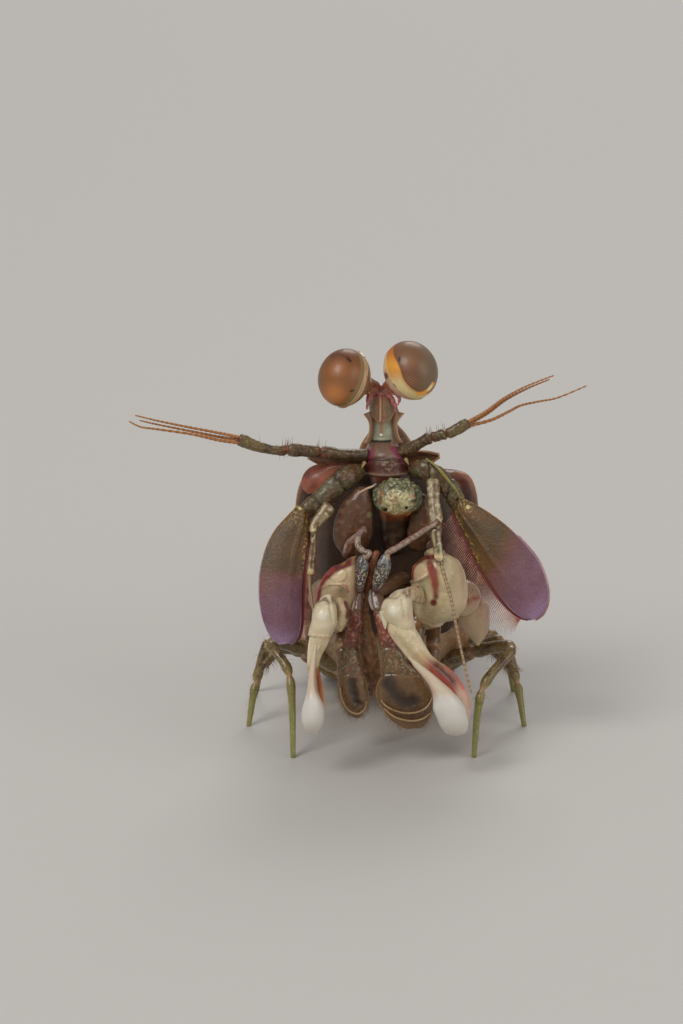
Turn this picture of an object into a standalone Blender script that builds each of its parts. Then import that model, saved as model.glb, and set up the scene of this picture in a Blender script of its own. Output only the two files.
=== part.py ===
"""A mantis shrimp at life size, reared up on its walking legs with both clubs hanging in front of it.

Lengths are in millimetres while the pieces are modelled and become metres when they are placed. +Z is up,
the animal faces -Y, and its own left is at +X, so names end in _l at +X and in _r at -X. The floor is z = 0.
"""

import math

import bmesh
import bpy
from mathutils import Matrix, Vector

MM = 0.001
GAP = 0.3
WELD_REACHES = (0.02, 0.008, 0.003, 0.001, 0.0003, 0.0001)
FORMS = {}

CARAPACE_LENGTH = 13.0
BODY_LENGTH = 64.0
FRONT_CENTRE = Vector((0.0, 6.2, 21.3))
REARED_PITCH = 94.0
LEVEL_PITCH = 2.5
TAIL_PITCH = 9.0
TAIL_YAW = 14.0
BEND_START = 9.0
BEND_END = 21.0
TAIL_START = 50.0

THORAX_END = 21.0
ABDOMEN_LENGTHS = (5.8, 5.8, 5.8, 5.6, 5.3, 4.4)
ABDOMEN_WIDTHS = (6.3, 6.4, 6.45, 6.4, 6.2, 5.6)
TELSON_LENGTH = 10.0
UROPOD_START = 52.5
BODY_SIDES = 20
SQUARENESS = 0.8

HEAD_TOP = 22.9
CORNEA_RADII = (2.05, 2.35, 2.1)
CORNEA_CUT = -0.35
SCALE_WIDTH = 4.2
SCALE_OUTLINE = (0.28, 0.66, 0.93, 1.0, 0.95, 0.72, 0.26)
THINNEST = 0.26
FLAGELLA_SPREAD = 0.45

ACROSS = (1.0, 0.0, 0.0)
LEFT = 1
RIGHT = -1
SIDE_TAGS = {LEFT: "l", RIGHT: "r"}

EYE_CENTRES = {RIGHT: (-3.5, 1.5, 30.0), LEFT: (1.75, 1.5, 30.65)}
ANTENNULES = {
    RIGHT: (
        [(-0.8, 3.6, 24.2), (-2.6, 2.4, 23.9), (-5.6, 1.5, 23.95), (-8.8, 1.2, 24.15), (-11.7, 1.0, 25.1)],
        [((-15.8, 0.9, 26.35), (-20.1, 0.2, 27.3)), ((-15.8, 0.9, 25.5), (-20.4, 0.6, 26.3)),
         ((-15.8, 0.1, 25.9), (-19.7, -0.6, 26.8))],
    ),
    LEFT: (
        [(0.2, 3.6, 24.2), (1.6, 2.3, 24.1), (3.4, 1.8, 24.8), (4.7, 1.8, 25.3), (6.5, 2.0, 26.35)],
        [((9.6, 2.8, 28.0), (13.2, 3.0, 29.9)), ((9.9, 3.1, 27.0), (13.8, 3.4, 27.9)),
         ((9.4, 3.9, 27.3), (16.6, 5.0, 28.9))],
    ),
}
ANTENNAE = {
    RIGHT: (
        [(-1.6, 2.6, 22.0), (-2.8, 0.95, 21.65), (-3.9, 0.6, 21.0), (-4.75, 0.3, 20.3), (-6.5, 0.25, 19.6)],
        [(-5.0, 0.0, 19.9), (-5.45, -0.9, 18.9), (-5.95, -1.3, 17.9), (-6.3, -2.3, 16.2), (-6.5, -4.2, 15.0),
         (-6.6, -6.4, 14.0), (-6.5, -8.2, 12.9)],
    ),
    LEFT: (
        [(1.6, 2.6, 22.0), (2.35, 0.8, 22.0), (3.2, 0.5, 21.6), (4.0, 0.2, 21.0), (5.3, 0.2, 20.4)],
        [(3.5, -0.2, 21.0), (3.6, -0.9, 20.6), (3.75, -1.5, 19.6), (3.9, -4.0, 19.0), (3.98, -6.6, 17.6),
         (4.5, -8.0, 15.8), (5.1, -8.8, 13.2), (5.5, -9.6, 10.8), (6.2, -11.2, 7.9)],
    ),
}
SCALE_PATHS = {
    RIGHT: [(-6.9, 0.3, 19.6), (-7.5, -0.3, 18.3), (-8.15, -1.2, 16.8), (-8.5, -2.0, 14.8),
            (-8.6, -2.6, 12.4), (-8.4, -2.9, 10.6), (-8.2, -3.0, 9.2)],
    LEFT: [(5.7, 0.2, 20.1), (6.7, -0.6, 19.2), (8.1, -1.4, 17.7), (9.45, -2.0, 16.0),
           (10.7, -2.6, 13.8), (11.3, -2.9, 12.2), (11.6, -3.0, 11.1)],
}
SCALE_ACROSS = {RIGHT: (0.79, -0.6, 0.05), LEFT: (0.93, -0.25, 0.27)}
RAPTORS = {
    RIGHT: {
        "merus": [(-7.0, 3.2, 9.8), (-6.0, 0.6, 11.8), (-4.9, -2.4, 13.4), (-4.15, -5.2, 14.6)],
        "hip": [(-6.8, 3.0, 10.2), (-5.0, 5.0, 11.6)],
        "wrist": (-4.5, -6.0, 14.4),
        "carpus": [(-4.75, -8.4, 14.75), (-4.75, -8.5, 14.1), (-4.85, -8.7, 13.0), (-5.1, -8.8, 12.3)],
        "carpus_spine": ((-4.2, -9.1, 12.8), (-3.4, -9.3, 12.0)),
        "propodus": [(-5.35, -8.7, 11.8), (-5.65, -8.7, 10.2), (-5.85, -8.5, 8.7), (-5.9, -8.3, 7.2),
                     (-5.9, -8.2, 5.9)],
        "propodus_sizes": [(0.82, 1.0), (0.68, 1.0), (0.55, 0.95), (0.55, 0.9), (0.5, 0.5)],
        "dactyl": [(-6.0, -9.9, 10.4), (-6.0, -10.1, 9.0), (-5.95, -10.1, 7.6), (-5.95, -9.8, 6.4),
                   (-5.95, -9.6, 5.1), (-5.95, -9.3, 3.8)],
        "dactyl_sizes": [(0.27, 0.27), (0.38, 0.42), (0.5, 0.6), (0.85, 1.25), (0.95, 1.42), (0.6, 0.8)],
        "plane": (1.0, 0.0, 0.0),
    },
    LEFT: {
        "merus": [(7.2, 3.2, 9.8), (6.3, 0.6, 11.9), (4.9, -2.4, 13.3), (3.3, -5.4, 14.3)],
        "hip": [(7.0, 3.0, 10.2), (5.0, 5.0, 11.6)],
        "wrist": (2.7, -6.2, 14.3),
        "carpus": [(0.5, -8.5, 14.75), (0.6, -8.6, 14.1), (0.75, -8.8, 13.0), (0.85, -9.0, 12.4)],
        "carpus_spine": ((0.1, -9.1, 12.8), (-0.75, -9.3, 11.9)),
        "propodus": [(1.0, -9.1, 12.0), (1.95, -9.15, 11.0), (2.95, -9.1, 9.9), (3.9, -9.05, 8.95),
                     (4.9, -9.0, 8.0), (5.75, -8.9, 6.95), (6.1, -8.9, 5.9)],
        "propodus_sizes": [(1.05, 0.85), (1.1, 0.95), (0.98, 0.95), (0.85, 0.95), (0.8, 0.9), (0.65, 0.8),
                           (0.4, 0.5)],
        "dactyl": [(1.65, -9.3, 9.8), (2.6, -9.35, 8.45), (3.6, -9.35, 7.1), (4.45, -9.3, 6.0),
                   (4.9, -9.3, 5.0), (5.2, -9.2, 3.75)],
        "dactyl_sizes": [(0.27, 0.27), (0.38, 0.45), (0.58, 0.65), (1.15, 0.95), (1.35, 1.0), (0.7, 0.6)],
        "plane": (0.7, 0.0, 0.7),
    },
}
MAXILLIPEDS = {
    RIGHT: {
        1: ([(-2.6, 3.8, 16.0), (-3.6, 0.0, 16.0), (-3.5, -2.4, 17.8), (-2.8, -3.7, 17.3), (-2.2, -4.6, 16.2),
             (-2.15, -4.9, 14.5)],
            [(0.4, 0.4), (0.4, 0.4), (0.4, 0.4), (0.42, 0.4), (0.5, 0.42), (0.3, 0.28)]),
        3: ([(-2.2, 4.0, 12.4), (-2.0, -1.5, 14.2), (-2.1, -4.3, 13.1), (-2.65, -5.6, 11.0), (-2.95, -6.0, 9.3),
             (-3.15, -6.4, 6.6), (-2.9, -6.5, 3.6)],
            [(0.6, 0.6), (0.65, 0.55), (0.7, 0.5), (0.6, 0.45), (0.7, 0.5), (0.95, 0.5), (0.5, 0.3)]),
        4: ([(-1.9, 4.0, 10.8), (-2.6, -0.6, 12.2), (-2.3, -2.9, 10.8), (-2.2, -3.9, 8.6), (-2.2, -4.3, 6.2),
             (-2.0, -4.4, 4.4)],
            [(0.55, 0.55), (0.6, 0.55), (0.6, 0.5), (0.7, 0.45), (0.95, 0.45), (0.4, 0.28)]),
        5: ([(-2.0, 4.2, 9.2), (-3.6, 0.6, 10.2), (-3.6, -1.4, 8.6), (-3.3, -2.2, 6.4), (-3.0, -2.5, 4.4),
             (-2.9, -2.5, 3.2)],
            [(0.5, 0.5), (0.55, 0.5), (0.55, 0.45), (0.7, 0.42), (0.8, 0.42), (0.4, 0.28)]),
    },
    LEFT: {
        1: ([(2.8, 3.8, 16.0), (3.7, 0.2, 16.2), (3.6, -2.4, 17.6), (1.9, -3.3, 17.5), (0.1, -4.0, 16.9),
             (-0.55, -4.7, 15.9), (-0.7, -4.9, 14.5)],
            [(0.4, 0.4), (0.4, 0.4), (0.38, 0.38), (0.36, 0.36), (0.42, 0.4), (0.6, 0.45), (0.35, 0.3)]),
        3: ([(1.6, 4.0, 12.4), (1.0, -1.5, 14.2), (0.2, -4.2, 13.1), (0.15, -5.6, 11.2), (0.4, -6.0, 9.3),
             (1.6, -6.4, 6.4), (1.8, -6.5, 3.2)],
            [(0.6, 0.6), (0.65, 0.55), (0.7, 0.5), (0.62, 0.45), (0.8, 0.5), (1.35, 0.55), (0.6, 0.3)]),
        4: ([(1.9, 4.0, 10.8), (2.6, -0.6, 12.2), (2.3, -2.9, 10.8), (2.2, -3.9, 8.6), (2.2, -4.3, 6.2),
             (2.0, -4.4, 4.4)],
            [(0.55, 0.55), (0.6, 0.55), (0.6, 0.5), (0.7, 0.45), (0.95, 0.45), (0.4, 0.28)]),
        5: ([(2.0, 4.2, 9.2), (3.6, 0.6, 10.2), (3.6, -1.4, 8.6), (3.3, -2.2, 6.4), (3.0, -2.5, 4.4),
             (2.9, -2.5, 3.2)],
            [(0.5, 0.5), (0.55, 0.5), (0.55, 0.45), (0.7, 0.42), (0.8, 0.42), (0.4, 0.28)]),
    },
}
WALKING_LEGS = {
    RIGHT: {
        1: ((-9.4, 0.4, 8.2), (-7.9, -1.8, 6.2), (-7.6, -3.9, -0.1)),
        2: ((-9.6, 6.6, 6.6), (-10.8, 5.6, 3.4), (-11.4, 4.4, -0.1)),
        3: ((-8.8, 12.6, 5.6), (-10.4, 13.2, 3.0), (-11.0, 14.2, -0.1)),
    },
    LEFT: {
        1: ((10.0, 0.2, 7.9), (7.6, -2.2, 5.2), (6.9, -3.8, -0.1)),
        2: ((9.6, 6.6, 6.6), (10.8, 5.6, 3.4), (11.4, 4.4, -0.1)),
        3: ((8.8, 12.6, 5.6), (10.4, 13.2, 3.0), (11.0, 14.2, -0.1)),
    },
}

COLOURS = {
    "shell": (0.30, 0.20, 0.11, 1.0),
    "head_shell": (0.32, 0.17, 0.14, 1.0),
    "cornea": (0.45, 0.22, 0.09, 1.0),
    "eyestalk": (0.55, 0.42, 0.28, 1.0),
    "feeler": (0.38, 0.22, 0.09, 1.0),
    "scale": (0.42, 0.26, 0.40, 1.0),
    "labrum": (0.45, 0.47, 0.26, 1.0),
    "arm": (0.78, 0.68, 0.48, 1.0),
    "club": (0.86, 0.82, 0.76, 1.0),
    "maxilliped": (0.38, 0.26, 0.14, 1.0),
    "leg": (0.36, 0.27, 0.12, 1.0),
}
ROUGHNESS = {
    "shell": 0.42, "head_shell": 0.4, "cornea": 0.12, "eyestalk": 0.45, "feeler": 0.4, "scale": 0.4,
    "labrum": 0.35, "arm": 0.3, "club": 0.35, "maxilliped": 0.35, "leg": 0.38,
}


def clear_scene():
    """Start from an empty file."""
    for obj in list(bpy.data.objects):
        bpy.data.objects.remove(obj)


def clamp(value):
    """Value held between 0 and 1."""
    return max(0.0, min(1.0, value))


def smooth_row(values, spans):
    """Numbers or vectors on a smooth curve through values, with spans steps between each pair."""
    row = []
    last = len(values) - 1
    for index in range(last):
        before = values[max(index - 1, 0)]
        start = values[index]
        end = values[index + 1]
        after = values[min(index + 2, last)]
        for step in range(spans):
            t = step / spans
            row.append(
                0.5 * (2 * start + (end - before) * t
                       + (2 * before - 5 * start + 4 * end - after) * t * t
                       + (3 * start - before - 3 * end + after) * t * t * t)
            )
    row.append(values[last])
    return row


def body_pitch(s):
    """Degrees below the horizon of the centre line, s millimetres behind the front of the carapace."""
    bend = clamp((s - BEND_START) / (BEND_END - BEND_START))
    tail = clamp((s - TAIL_START) / (BODY_LENGTH - TAIL_START))
    return REARED_PITCH + (LEVEL_PITCH - REARED_PITCH) * bend + (TAIL_PITCH - LEVEL_PITCH) * tail


def body_yaw(s):
    """Degrees by which the centre line has swung towards the animal's left at s."""
    return TAIL_YAW * clamp((s - BEND_END) / (BODY_LENGTH - BEND_END))


def body_frame(s):
    """The matrix whose X is across the body, Y towards the tail and Z out of its back, at s."""
    steps = 200
    centre = FRONT_CENTRE.copy()
    for step in range(steps):
        centre += tailwards((step + 0.5) * s / steps) * (s / steps)
    along = tailwards(s)
    yaw = math.radians(body_yaw(s))
    across = Vector((math.cos(yaw), -math.sin(yaw), 0.0))
    up = across.cross(along)
    return frame_of(across, along, up, centre)


def tailwards(s):
    """The direction of the centre line at s, towards the tail."""
    pitch = math.radians(body_pitch(s))
    yaw = math.radians(body_yaw(s))
    return Vector((math.sin(yaw) * math.cos(pitch), math.cos(yaw) * math.cos(pitch), -math.sin(pitch)))


def frame_of(x_axis, y_axis, z_axis, centre):
    """The matrix with these axes and this centre."""
    rows = [(x_axis[i], y_axis[i], z_axis[i], centre[i]) for i in range(3)]
    return Matrix((*rows, (0.0, 0.0, 0.0, 1.0)))


def on_body(s, x, z):
    """The point at x across and z out of the back, at s along the body."""
    return body_frame(s) @ Vector((x, 0.0, z))


def near_floor(s, x, height):
    """The point at x across the body at s, at a height above the floor."""
    point = on_body(s, x, 0.0)
    return Vector((point.x, point.y, height))


def new_object(name, bm):
    """A mesh object from bm, with its faces pointing out."""
    bmesh.ops.recalc_face_normals(bm, faces=bm.faces)
    mesh = bpy.data.meshes.new(name)
    bm.to_mesh(mesh)
    bm.free()
    obj = bpy.data.objects.new(name, mesh)
    bpy.context.scene.collection.objects.link(obj)
    return obj


def loft(name, rings):
    """A closed solid through rings of points, each ring a flat loop with the same number of points."""
    bm = bmesh.new()
    loops = [[bm.verts.new(point) for point in ring] for ring in rings]
    count = len(rings[0])
    for first, second in zip(loops, loops[1:]):
        for i in range(count):
            j = (i + 1) % count
            bm.faces.new((first[i], first[j], second[j]))
            bm.faces.new((first[i], second[j], second[i]))
    bm.faces.new(loops[0])
    bm.faces.new(loops[-1])
    return new_object(name, bm)


def plate(name, top, bottom):
    """A closed thin solid between two grids of points, split into triangles alike on both faces."""
    bm = bmesh.new()
    upper = [[bm.verts.new(point) for point in row] for row in top]
    lower = [[bm.verts.new(point) for point in row] for row in bottom]
    rows = len(top)
    columns = len(top[0])
    for grid in (upper, lower):
        for i in range(rows - 1):
            for j in range(columns - 1):
                bm.faces.new((grid[i][j], grid[i + 1][j], grid[i + 1][j + 1]))
                bm.faces.new((grid[i][j], grid[i + 1][j + 1], grid[i][j + 1]))
    rim = [(i, 0) for i in range(rows)]
    rim += [(rows - 1, j) for j in range(1, columns)]
    rim += [(i, columns - 1) for i in range(rows - 2, -1, -1)]
    rim += [(0, j) for j in range(columns - 2, 0, -1)]
    for (a, b), (c, d) in zip(rim, rim[1:] + rim[:1]):
        bm.faces.new((upper[a][b], upper[c][d], lower[c][d]))
        bm.faces.new((upper[a][b], lower[c][d], lower[a][b]))
    return new_object(name, bm)


def limb(name, path, sizes, across, sides=8, spans=3):
    """A closed tube along a smooth path. Each size is (half width along across, half depth)."""
    centres = smooth_row([Vector(point) for point in path], spans)
    halves = smooth_row([Vector(size) for size in sizes], spans)
    rings = []
    for index, centre in enumerate(centres):
        ahead = centres[min(index + 1, len(centres) - 1)] - centres[max(index - 1, 0)]
        ahead.normalize()
        side = Vector(across)
        side = (side - ahead * side.dot(ahead)).normalized()
        rise = ahead.cross(side)
        width, depth = halves[index]
        ring = []
        for corner in range(sides):
            angle = 2 * math.pi * (corner + 0.5) / sides
            ring.append(centre + side * (width * math.cos(angle)) + rise * (depth * math.sin(angle)))
        rings.append(ring)
    return loft(name, rings)


def globe(name, centre, axis, radii, cut=None, segments=14, rings=9):
    """An ellipsoid whose third radius lies along axis, cut flat behind at cut times that radius."""
    bm = bmesh.new()
    bmesh.ops.create_uvsphere(bm, u_segments=segments, v_segments=rings, radius=1.0)
    if cut is not None:
        geometry = bm.verts[:] + bm.edges[:] + bm.faces[:]
        bmesh.ops.bisect_plane(bm, geom=geometry, plane_co=(0, 0, cut), plane_no=(0, 0, 1), clear_inner=True)
        bmesh.ops.holes_fill(bm, edges=bm.edges, sides=segments * 2)
    turn = Vector(axis).to_track_quat("Z", "Y").to_matrix().to_4x4()
    place = Matrix.Translation(centre) @ turn @ Matrix.Diagonal((*radii, 1.0))
    bmesh.ops.transform(bm, matrix=place, verts=bm.verts)
    return new_object(name, bm)


def spike(name, root, tip, radius, sides=5):
    """A cone from root to tip with a small blunt end."""
    root = Vector(root)
    tip = Vector(tip)
    bm = bmesh.new()
    length = (tip - root).length
    bmesh.ops.create_cone(
        bm, cap_ends=True, segments=sides, radius1=radius, radius2=0.08, depth=length
    )
    turn = (tip - root).to_track_quat("Z", "Y").to_matrix().to_4x4()
    bmesh.ops.transform(bm, matrix=Matrix.Translation((root + tip) / 2) @ turn, verts=bm.verts)
    return new_object(name, bm)


def welded(mesh, reach):
    """The mesh with corners closer than reach joined, and with no sliver left between them."""
    bm = bmesh.new()
    bm.from_mesh(mesh)
    bmesh.ops.remove_doubles(bm, verts=bm.verts, dist=reach)
    bmesh.ops.dissolve_degenerate(bm, dist=reach / 2, edges=bm.edges)
    bmesh.ops.triangulate(bm, faces=bm.faces)
    return bm


def closed_surfaces(bm):
    """The faces of bm, in groups that hang together."""
    left = set(bm.faces)
    groups = []
    while left:
        start = left.pop()
        group = {start}
        border = [start]
        while border:
            face = border.pop()
            for edge in face.edges:
                for other in edge.link_faces:
                    if other in left:
                        left.discard(other)
                        group.add(other)
                        border.append(other)
        groups.append(group)
    return groups


def largest_surface(obj):
    """Keep only the largest closed surface of obj, welded as far as it stays closed."""
    for reach in WELD_REACHES:
        bm = welded(obj.data, reach)
        if all(edge.is_manifold for edge in bm.edges) or reach == WELD_REACHES[-1]:
            break
        bm.free()
    keep = max(closed_surfaces(bm), key=lambda group: sum(face.calc_area() for face in group))
    spare = [face for face in bm.faces if face not in keep]
    bmesh.ops.delete(bm, geom=spare, context="FACES")
    loose = [vert for vert in bm.verts if not vert.link_faces]
    bmesh.ops.delete(bm, geom=loose, context="VERTS")
    bm.to_mesh(obj.data)
    bm.free()


def apply_boolean(obj, operation, others, solver):
    """Join others to obj, or cut them from it, and remove them."""
    tools = bpy.data.collections.new(obj.name + "_tools")
    bpy.context.scene.collection.children.link(tools)
    for other in others:
        tools.objects.link(other)
    modifier = obj.modifiers.new("fit", "BOOLEAN")
    modifier.operation = operation
    modifier.operand_type = "COLLECTION"
    modifier.collection = tools
    modifier.solver = solver
    graph = bpy.context.evaluated_depsgraph_get()
    made = bpy.data.meshes.new_from_object(obj.evaluated_get(graph))
    obj.modifiers.clear()
    obj.data = made
    for other in others:
        bpy.data.objects.remove(other)
    bpy.data.collections.remove(tools)
    largest_surface(obj)
    return obj


def fuse(pieces, solver="EXACT"):
    """One closed body from overlapping pieces. The first keeps its name, and its forms are noted."""
    FORMS[pieces[0].name] = [piece.data.copy() for piece in pieces]
    return apply_boolean(pieces[0], "UNION", pieces[1:], solver)


def swollen(mesh, by=GAP):
    """An object of the mesh's shape, grown by the clearance that neighbours keep."""
    bm = bmesh.new()
    bm.from_mesh(mesh)
    bm.normal_update()
    moves = [vert.normal * (by * vert.calc_shell_factor()) for vert in bm.verts]
    for vert, move in zip(bm.verts, moves):
        vert.co += move
    return new_object("swollen", bm)


def box_of(mesh):
    """The lowest and highest corner of a mesh."""
    low = [min(vert.co[axis] for vert in mesh.vertices) for axis in range(3)]
    high = [max(vert.co[axis] for vert in mesh.vertices) for axis in range(3)]
    return low, high


def near(first, second):
    """Whether the boxes of two meshes come closer than the clearance."""
    low, high = box_of(first)
    other_low, other_high = box_of(second)
    return all(low[i] < other_high[i] + 2 * GAP and other_low[i] < high[i] + 2 * GAP for i in range(3))


def seat(obj, *roots, solver="MANIFOLD"):
    """Cut obj back so that it meets each root face to face, a gap away."""
    for root in roots:
        for form in FORMS.get(root.name, [root.data]):
            if near(obj.data, form):
                apply_boolean(obj, "DIFFERENCE", [swollen(form)], solver)
    return obj


def stand(obj):
    """Trim obj flat at the floor."""
    bm = bmesh.new()
    bm.from_mesh(obj.data)
    geometry = bm.verts[:] + bm.edges[:] + bm.faces[:]
    bmesh.ops.bisect_plane(bm, geom=geometry, plane_co=(0, 0, 0), plane_no=(0, 0, 1), clear_inner=True)
    rim = [edge for edge in bm.edges if edge.is_boundary]
    bmesh.ops.holes_fill(bm, edges=rim, sides=0)
    bmesh.ops.triangulate(bm, faces=bm.faces)
    bm.to_mesh(obj.data)
    bm.free()
    return obj


def mirrored(side, point):
    """The point on the animal's left (side is 1), or its mirror image on the right (side is -1)."""
    return Vector((point[0] * side, point[1], point[2]))


def shell_ring(s, half_width, back, belly):
    """A rounded ring across the body at s, back above the centre line and belly below it."""
    frame = body_frame(s)
    ring = []
    for corner in range(BODY_SIDES):
        angle = 2 * math.pi * corner / BODY_SIDES
        across = math.cos(angle)
        rise = math.sin(angle)
        x = math.copysign(abs(across) ** SQUARENESS, across) * half_width
        z = math.copysign(abs(rise) ** SQUARENESS, rise) * (back if rise > 0 else belly)
        ring.append(frame @ Vector((x, 0.0, z)))
    return ring


def shell(name, stations):
    """A length of the body through stations of (s, half width, back, belly)."""
    return loft(name, [shell_ring(*station) for station in stations])


def leaf(name, path, halves, across, thickness, camber=0.0, columns=5, spans=2):
    """A thin plate along a smooth path, halves wide to each side, that bulges by camber."""
    centres = smooth_row([Vector(point) for point in path], spans)
    widths = smooth_row(halves, spans)
    top = []
    bottom = []
    for index, centre in enumerate(centres):
        ahead = centres[min(index + 1, len(centres) - 1)] - centres[max(index - 1, 0)]
        ahead.normalize()
        side = Vector(across)
        side = (side - ahead * side.dot(ahead)).normalized()
        rise = side.cross(ahead)
        upper = []
        lower = []
        for column in range(columns):
            u = 2 * column / (columns - 1) - 1
            middle = centre + side * (u * widths[index]) + rise * (camber * (1 - u * u))
            upper.append(middle + rise * (thickness / 2))
            lower.append(middle - rise * (thickness / 2))
        top.append(upper)
        bottom.append(lower)
    return plate(name, top, bottom)


def make_carapace():
    """The shield over the head and front of the thorax, with the core of the head under its front."""
    shield = shell("carapace", [
        (0.0, 6.2, 1.9, 1.9), (0.7, 7.1, 2.7, 2.2), (3.0, 7.5, 3.5, 2.5), (6.5, 7.6, 4.0, 2.6),
        (10.0, 7.5, 4.0, 2.6), (12.3, 7.3, 3.7, 2.5), (CARAPACE_LENGTH, 6.9, 3.3, 2.3),
    ])
    core = limb("core", [(0.0, 5.4, 19.5), (0.0, 5.0, 22.4), (-0.1, 4.7, HEAD_TOP)],
                [(2.7, 2.3), (2.4, 2.0), (1.5, 1.5)], ACROSS, sides=10, spans=2)
    right_path = [(-1.4, 4.4, 22.2), (-3.4, 4.1, 22.5), (-5.2, 3.9, 22.9), (-6.3, 3.8, 23.2)]
    right_lobe = leaf("right_lobe", right_path, [0.8, 0.8, 0.6, 0.3], (0.25, 0.0, 1.0), 0.55, columns=3)
    left_lobe = leaf("left_lobe", [(1.2, 4.4, 22.6), (2.4, 4.2, 22.9), (3.4, 4.0, 23.2), (4.0, 3.9, 23.4)],
                     [0.9, 1.0, 0.8, 0.4], (-0.25, 0.0, 1.0), 0.55, columns=3)
    return fuse([shield, core, right_lobe, left_lobe])


def make_rostral_plate():
    """The three-cornered plate hinged on the front of the carapace."""
    path = [(0, 7.9, 21.7), (0, 8.0, 22.9), (0, 7.9, 24.0), (0, 7.7, 24.8), (0, 7.5, 25.6)]
    return leaf("rostral_plate", path, [2.3, 2.6, 1.9, 0.8, 0.26], ACROSS, 0.6, camber=0.3)


def make_neck(carapace):
    """The antennular somite below and the ophthalmic somite on it, which carry feelers and eyes."""
    somite = limb("antennular_somite", [(-0.1, 4.3, HEAD_TOP + GAP), (-0.3, 4.0, 25.6), (-0.4, 3.8, 27.5)],
                  [(1.25, 1.4), (0.9, 1.15), (0.95, 1.1)], ACROSS, sides=10)
    spines = [spike("spine", (-0.35 + side * 0.5, 3.2, 26.0), (-0.35 + side * 1.5, 2.8, 27.0), 0.35)
              for side in (-1, 1)]
    ridge = limb("ridge", [(-0.2, 3.1, 24.9), (-0.35, 2.9, 26.2), (-0.4, 2.9, 27.2)],
                 [(0.25, 0.3), (0.25, 0.3), (0.2, 0.2)], ACROSS, sides=4, spans=1)
    antennular = seat(fuse([somite, ridge, *spines]), carapace)
    ophthalmic = limb("ophthalmic_somite", [(-0.4, 3.7, 27.5 + GAP), (-0.5, 3.4, 28.6), (-0.5, 3.1, 29.4)],
                      [(1.0, 1.0), (0.95, 0.95), (0.6, 0.5)], ACROSS, sides=10)
    return antennular, ophthalmic


def make_eye(side, ophthalmic):
    """A bean-shaped cornea in the cup of its stalk."""
    tag = SIDE_TAGS[side]
    centre = Vector(EYE_CENTRES[side])
    root = Vector((-0.5 + side * 0.5, 3.2, 28.75))
    axis = (centre - root).normalized()
    back = CORNEA_CUT * CORNEA_RADII[2]
    cornea = globe("eye_" + tag, centre, axis, CORNEA_RADII, cut=CORNEA_CUT)
    cup = centre + axis * (back - GAP)
    across = axis.cross(Vector((0, 0, 1)))
    stalk = limb("eyestalk_" + tag, [root, root.lerp(cup, 0.4), root.lerp(cup, 0.75), cup],
                 [(0.55, 0.6), (0.75, 0.85), (1.45, 1.65), (1.88, 2.12)], across, sides=12, spans=2)
    seat(stalk, ophthalmic)
    return cornea, stalk


def make_antennule(side, neck):
    """A three-jointed stem that ends in three flagella."""
    tag = SIDE_TAGS[side]
    stem, tips = ANTENNULES[side]
    pieces = [limb("antennule_" + tag, stem,
                   [(0.7, 0.7), (0.68, 0.68), (0.56, 0.56), (0.62, 0.62), (0.5, 0.5)], (0, 1, 0.2))]
    end = Vector(stem[-1])
    ahead = (end - Vector(stem[-2])).normalized()
    centre = sum((Vector(middle) for middle, _ in tips), Vector()) / len(tips)
    for middle, tip in tips:
        spread = (Vector(middle) - centre).normalized() * FLAGELLA_SPREAD
        path = [end - ahead * 0.8 + spread * 0.3, end + ahead * 1.2 + spread, middle, tip]
        pieces.append(limb("flagellum", path, [(0.3, 0.3), (0.3, 0.3), (0.28, 0.28), (THINNEST, THINNEST)],
                           (0, 1, 0.2), sides=6, spans=2))
    return seat(fuse(pieces), neck)


def make_antenna(side, carapace):
    """The protopod, and the flagellum on its own short stem."""
    tag = SIDE_TAGS[side]
    protopod, stem = ANTENNAE[side]
    base = limb("antenna_" + tag, protopod, [(1.0, 1.0), (1.15, 1.1), (0.85, 0.85), (0.95, 0.9), (0.7, 0.7)],
                (0, 1, 0), spans=2)
    sizes = [(0.62, 0.62), (0.6, 0.6), (0.5, 0.5)] + [(0.34, 0.34)] * (len(stem) - 4) + [(THINNEST, THINNEST)]
    flagellum = limb("flagellum", stem, sizes, ACROSS, sides=6, spans=2)
    return seat(fuse([base, flagellum]), carapace)


def make_antennal_scale(side, antenna):
    """The oval paddle that hangs from the protopod."""
    tag = SIDE_TAGS[side]
    path = SCALE_PATHS[side]
    across = SCALE_ACROSS[side]
    halves = [SCALE_WIDTH / 2 * share for share in SCALE_OUTLINE]
    paddle = leaf("antennal_scale_" + tag, path, halves, across, 0.55, camber=0.35 * -side)
    return seat(paddle, antenna)


EPISTOME_PATH = [(-0.1, 2.5, 23.9), (-0.1, 2.0, 23.0), (0.2, 1.9, 21.8), (0.5, 1.9, 20.2), (0.4, 2.3, 17.8)]
EPISTOME_SIZES = [(1.2, 0.8), (1.6, 1.2), (1.7, 1.4), (2.0, 1.6), (1.6, 1.0)]


def make_mouth(carapace):
    """The epistome, the bulging labrum under it and a mandible to each side."""
    epistome = limb("mouth", EPISTOME_PATH, EPISTOME_SIZES, ACROSS, sides=10, spans=2)
    labrum = globe("labrum", (0.75, 0.6, 20.6), (0, -1, 0.1), (1.8, 1.5, 1.35), segments=12, rings=7)
    mandibles = [globe("mandible", (x, y, 18.9), (0, -1, 0.2), (1.3, 2.2, 1.1), segments=10, rings=6)
                 for x, y in ((-2.8, 0.0), (2.6, 0.9))]
    return seat(fuse([epistome, labrum, *mandibles], "MANIFOLD"), carapace)


def make_maxillipeds(side, carapace, mouth):
    """The small first limb and the three broad-handed ones that hang between the clubs."""
    tag = SIDE_TAGS[side]
    made = []
    for number, (path, sizes) in MAXILLIPEDS[side].items():
        obj = limb("maxilliped_%d_%s" % (number, tag), path, sizes, ACROSS, spans=2)
        made.append(seat(obj, carapace, mouth))
    return made


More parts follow.
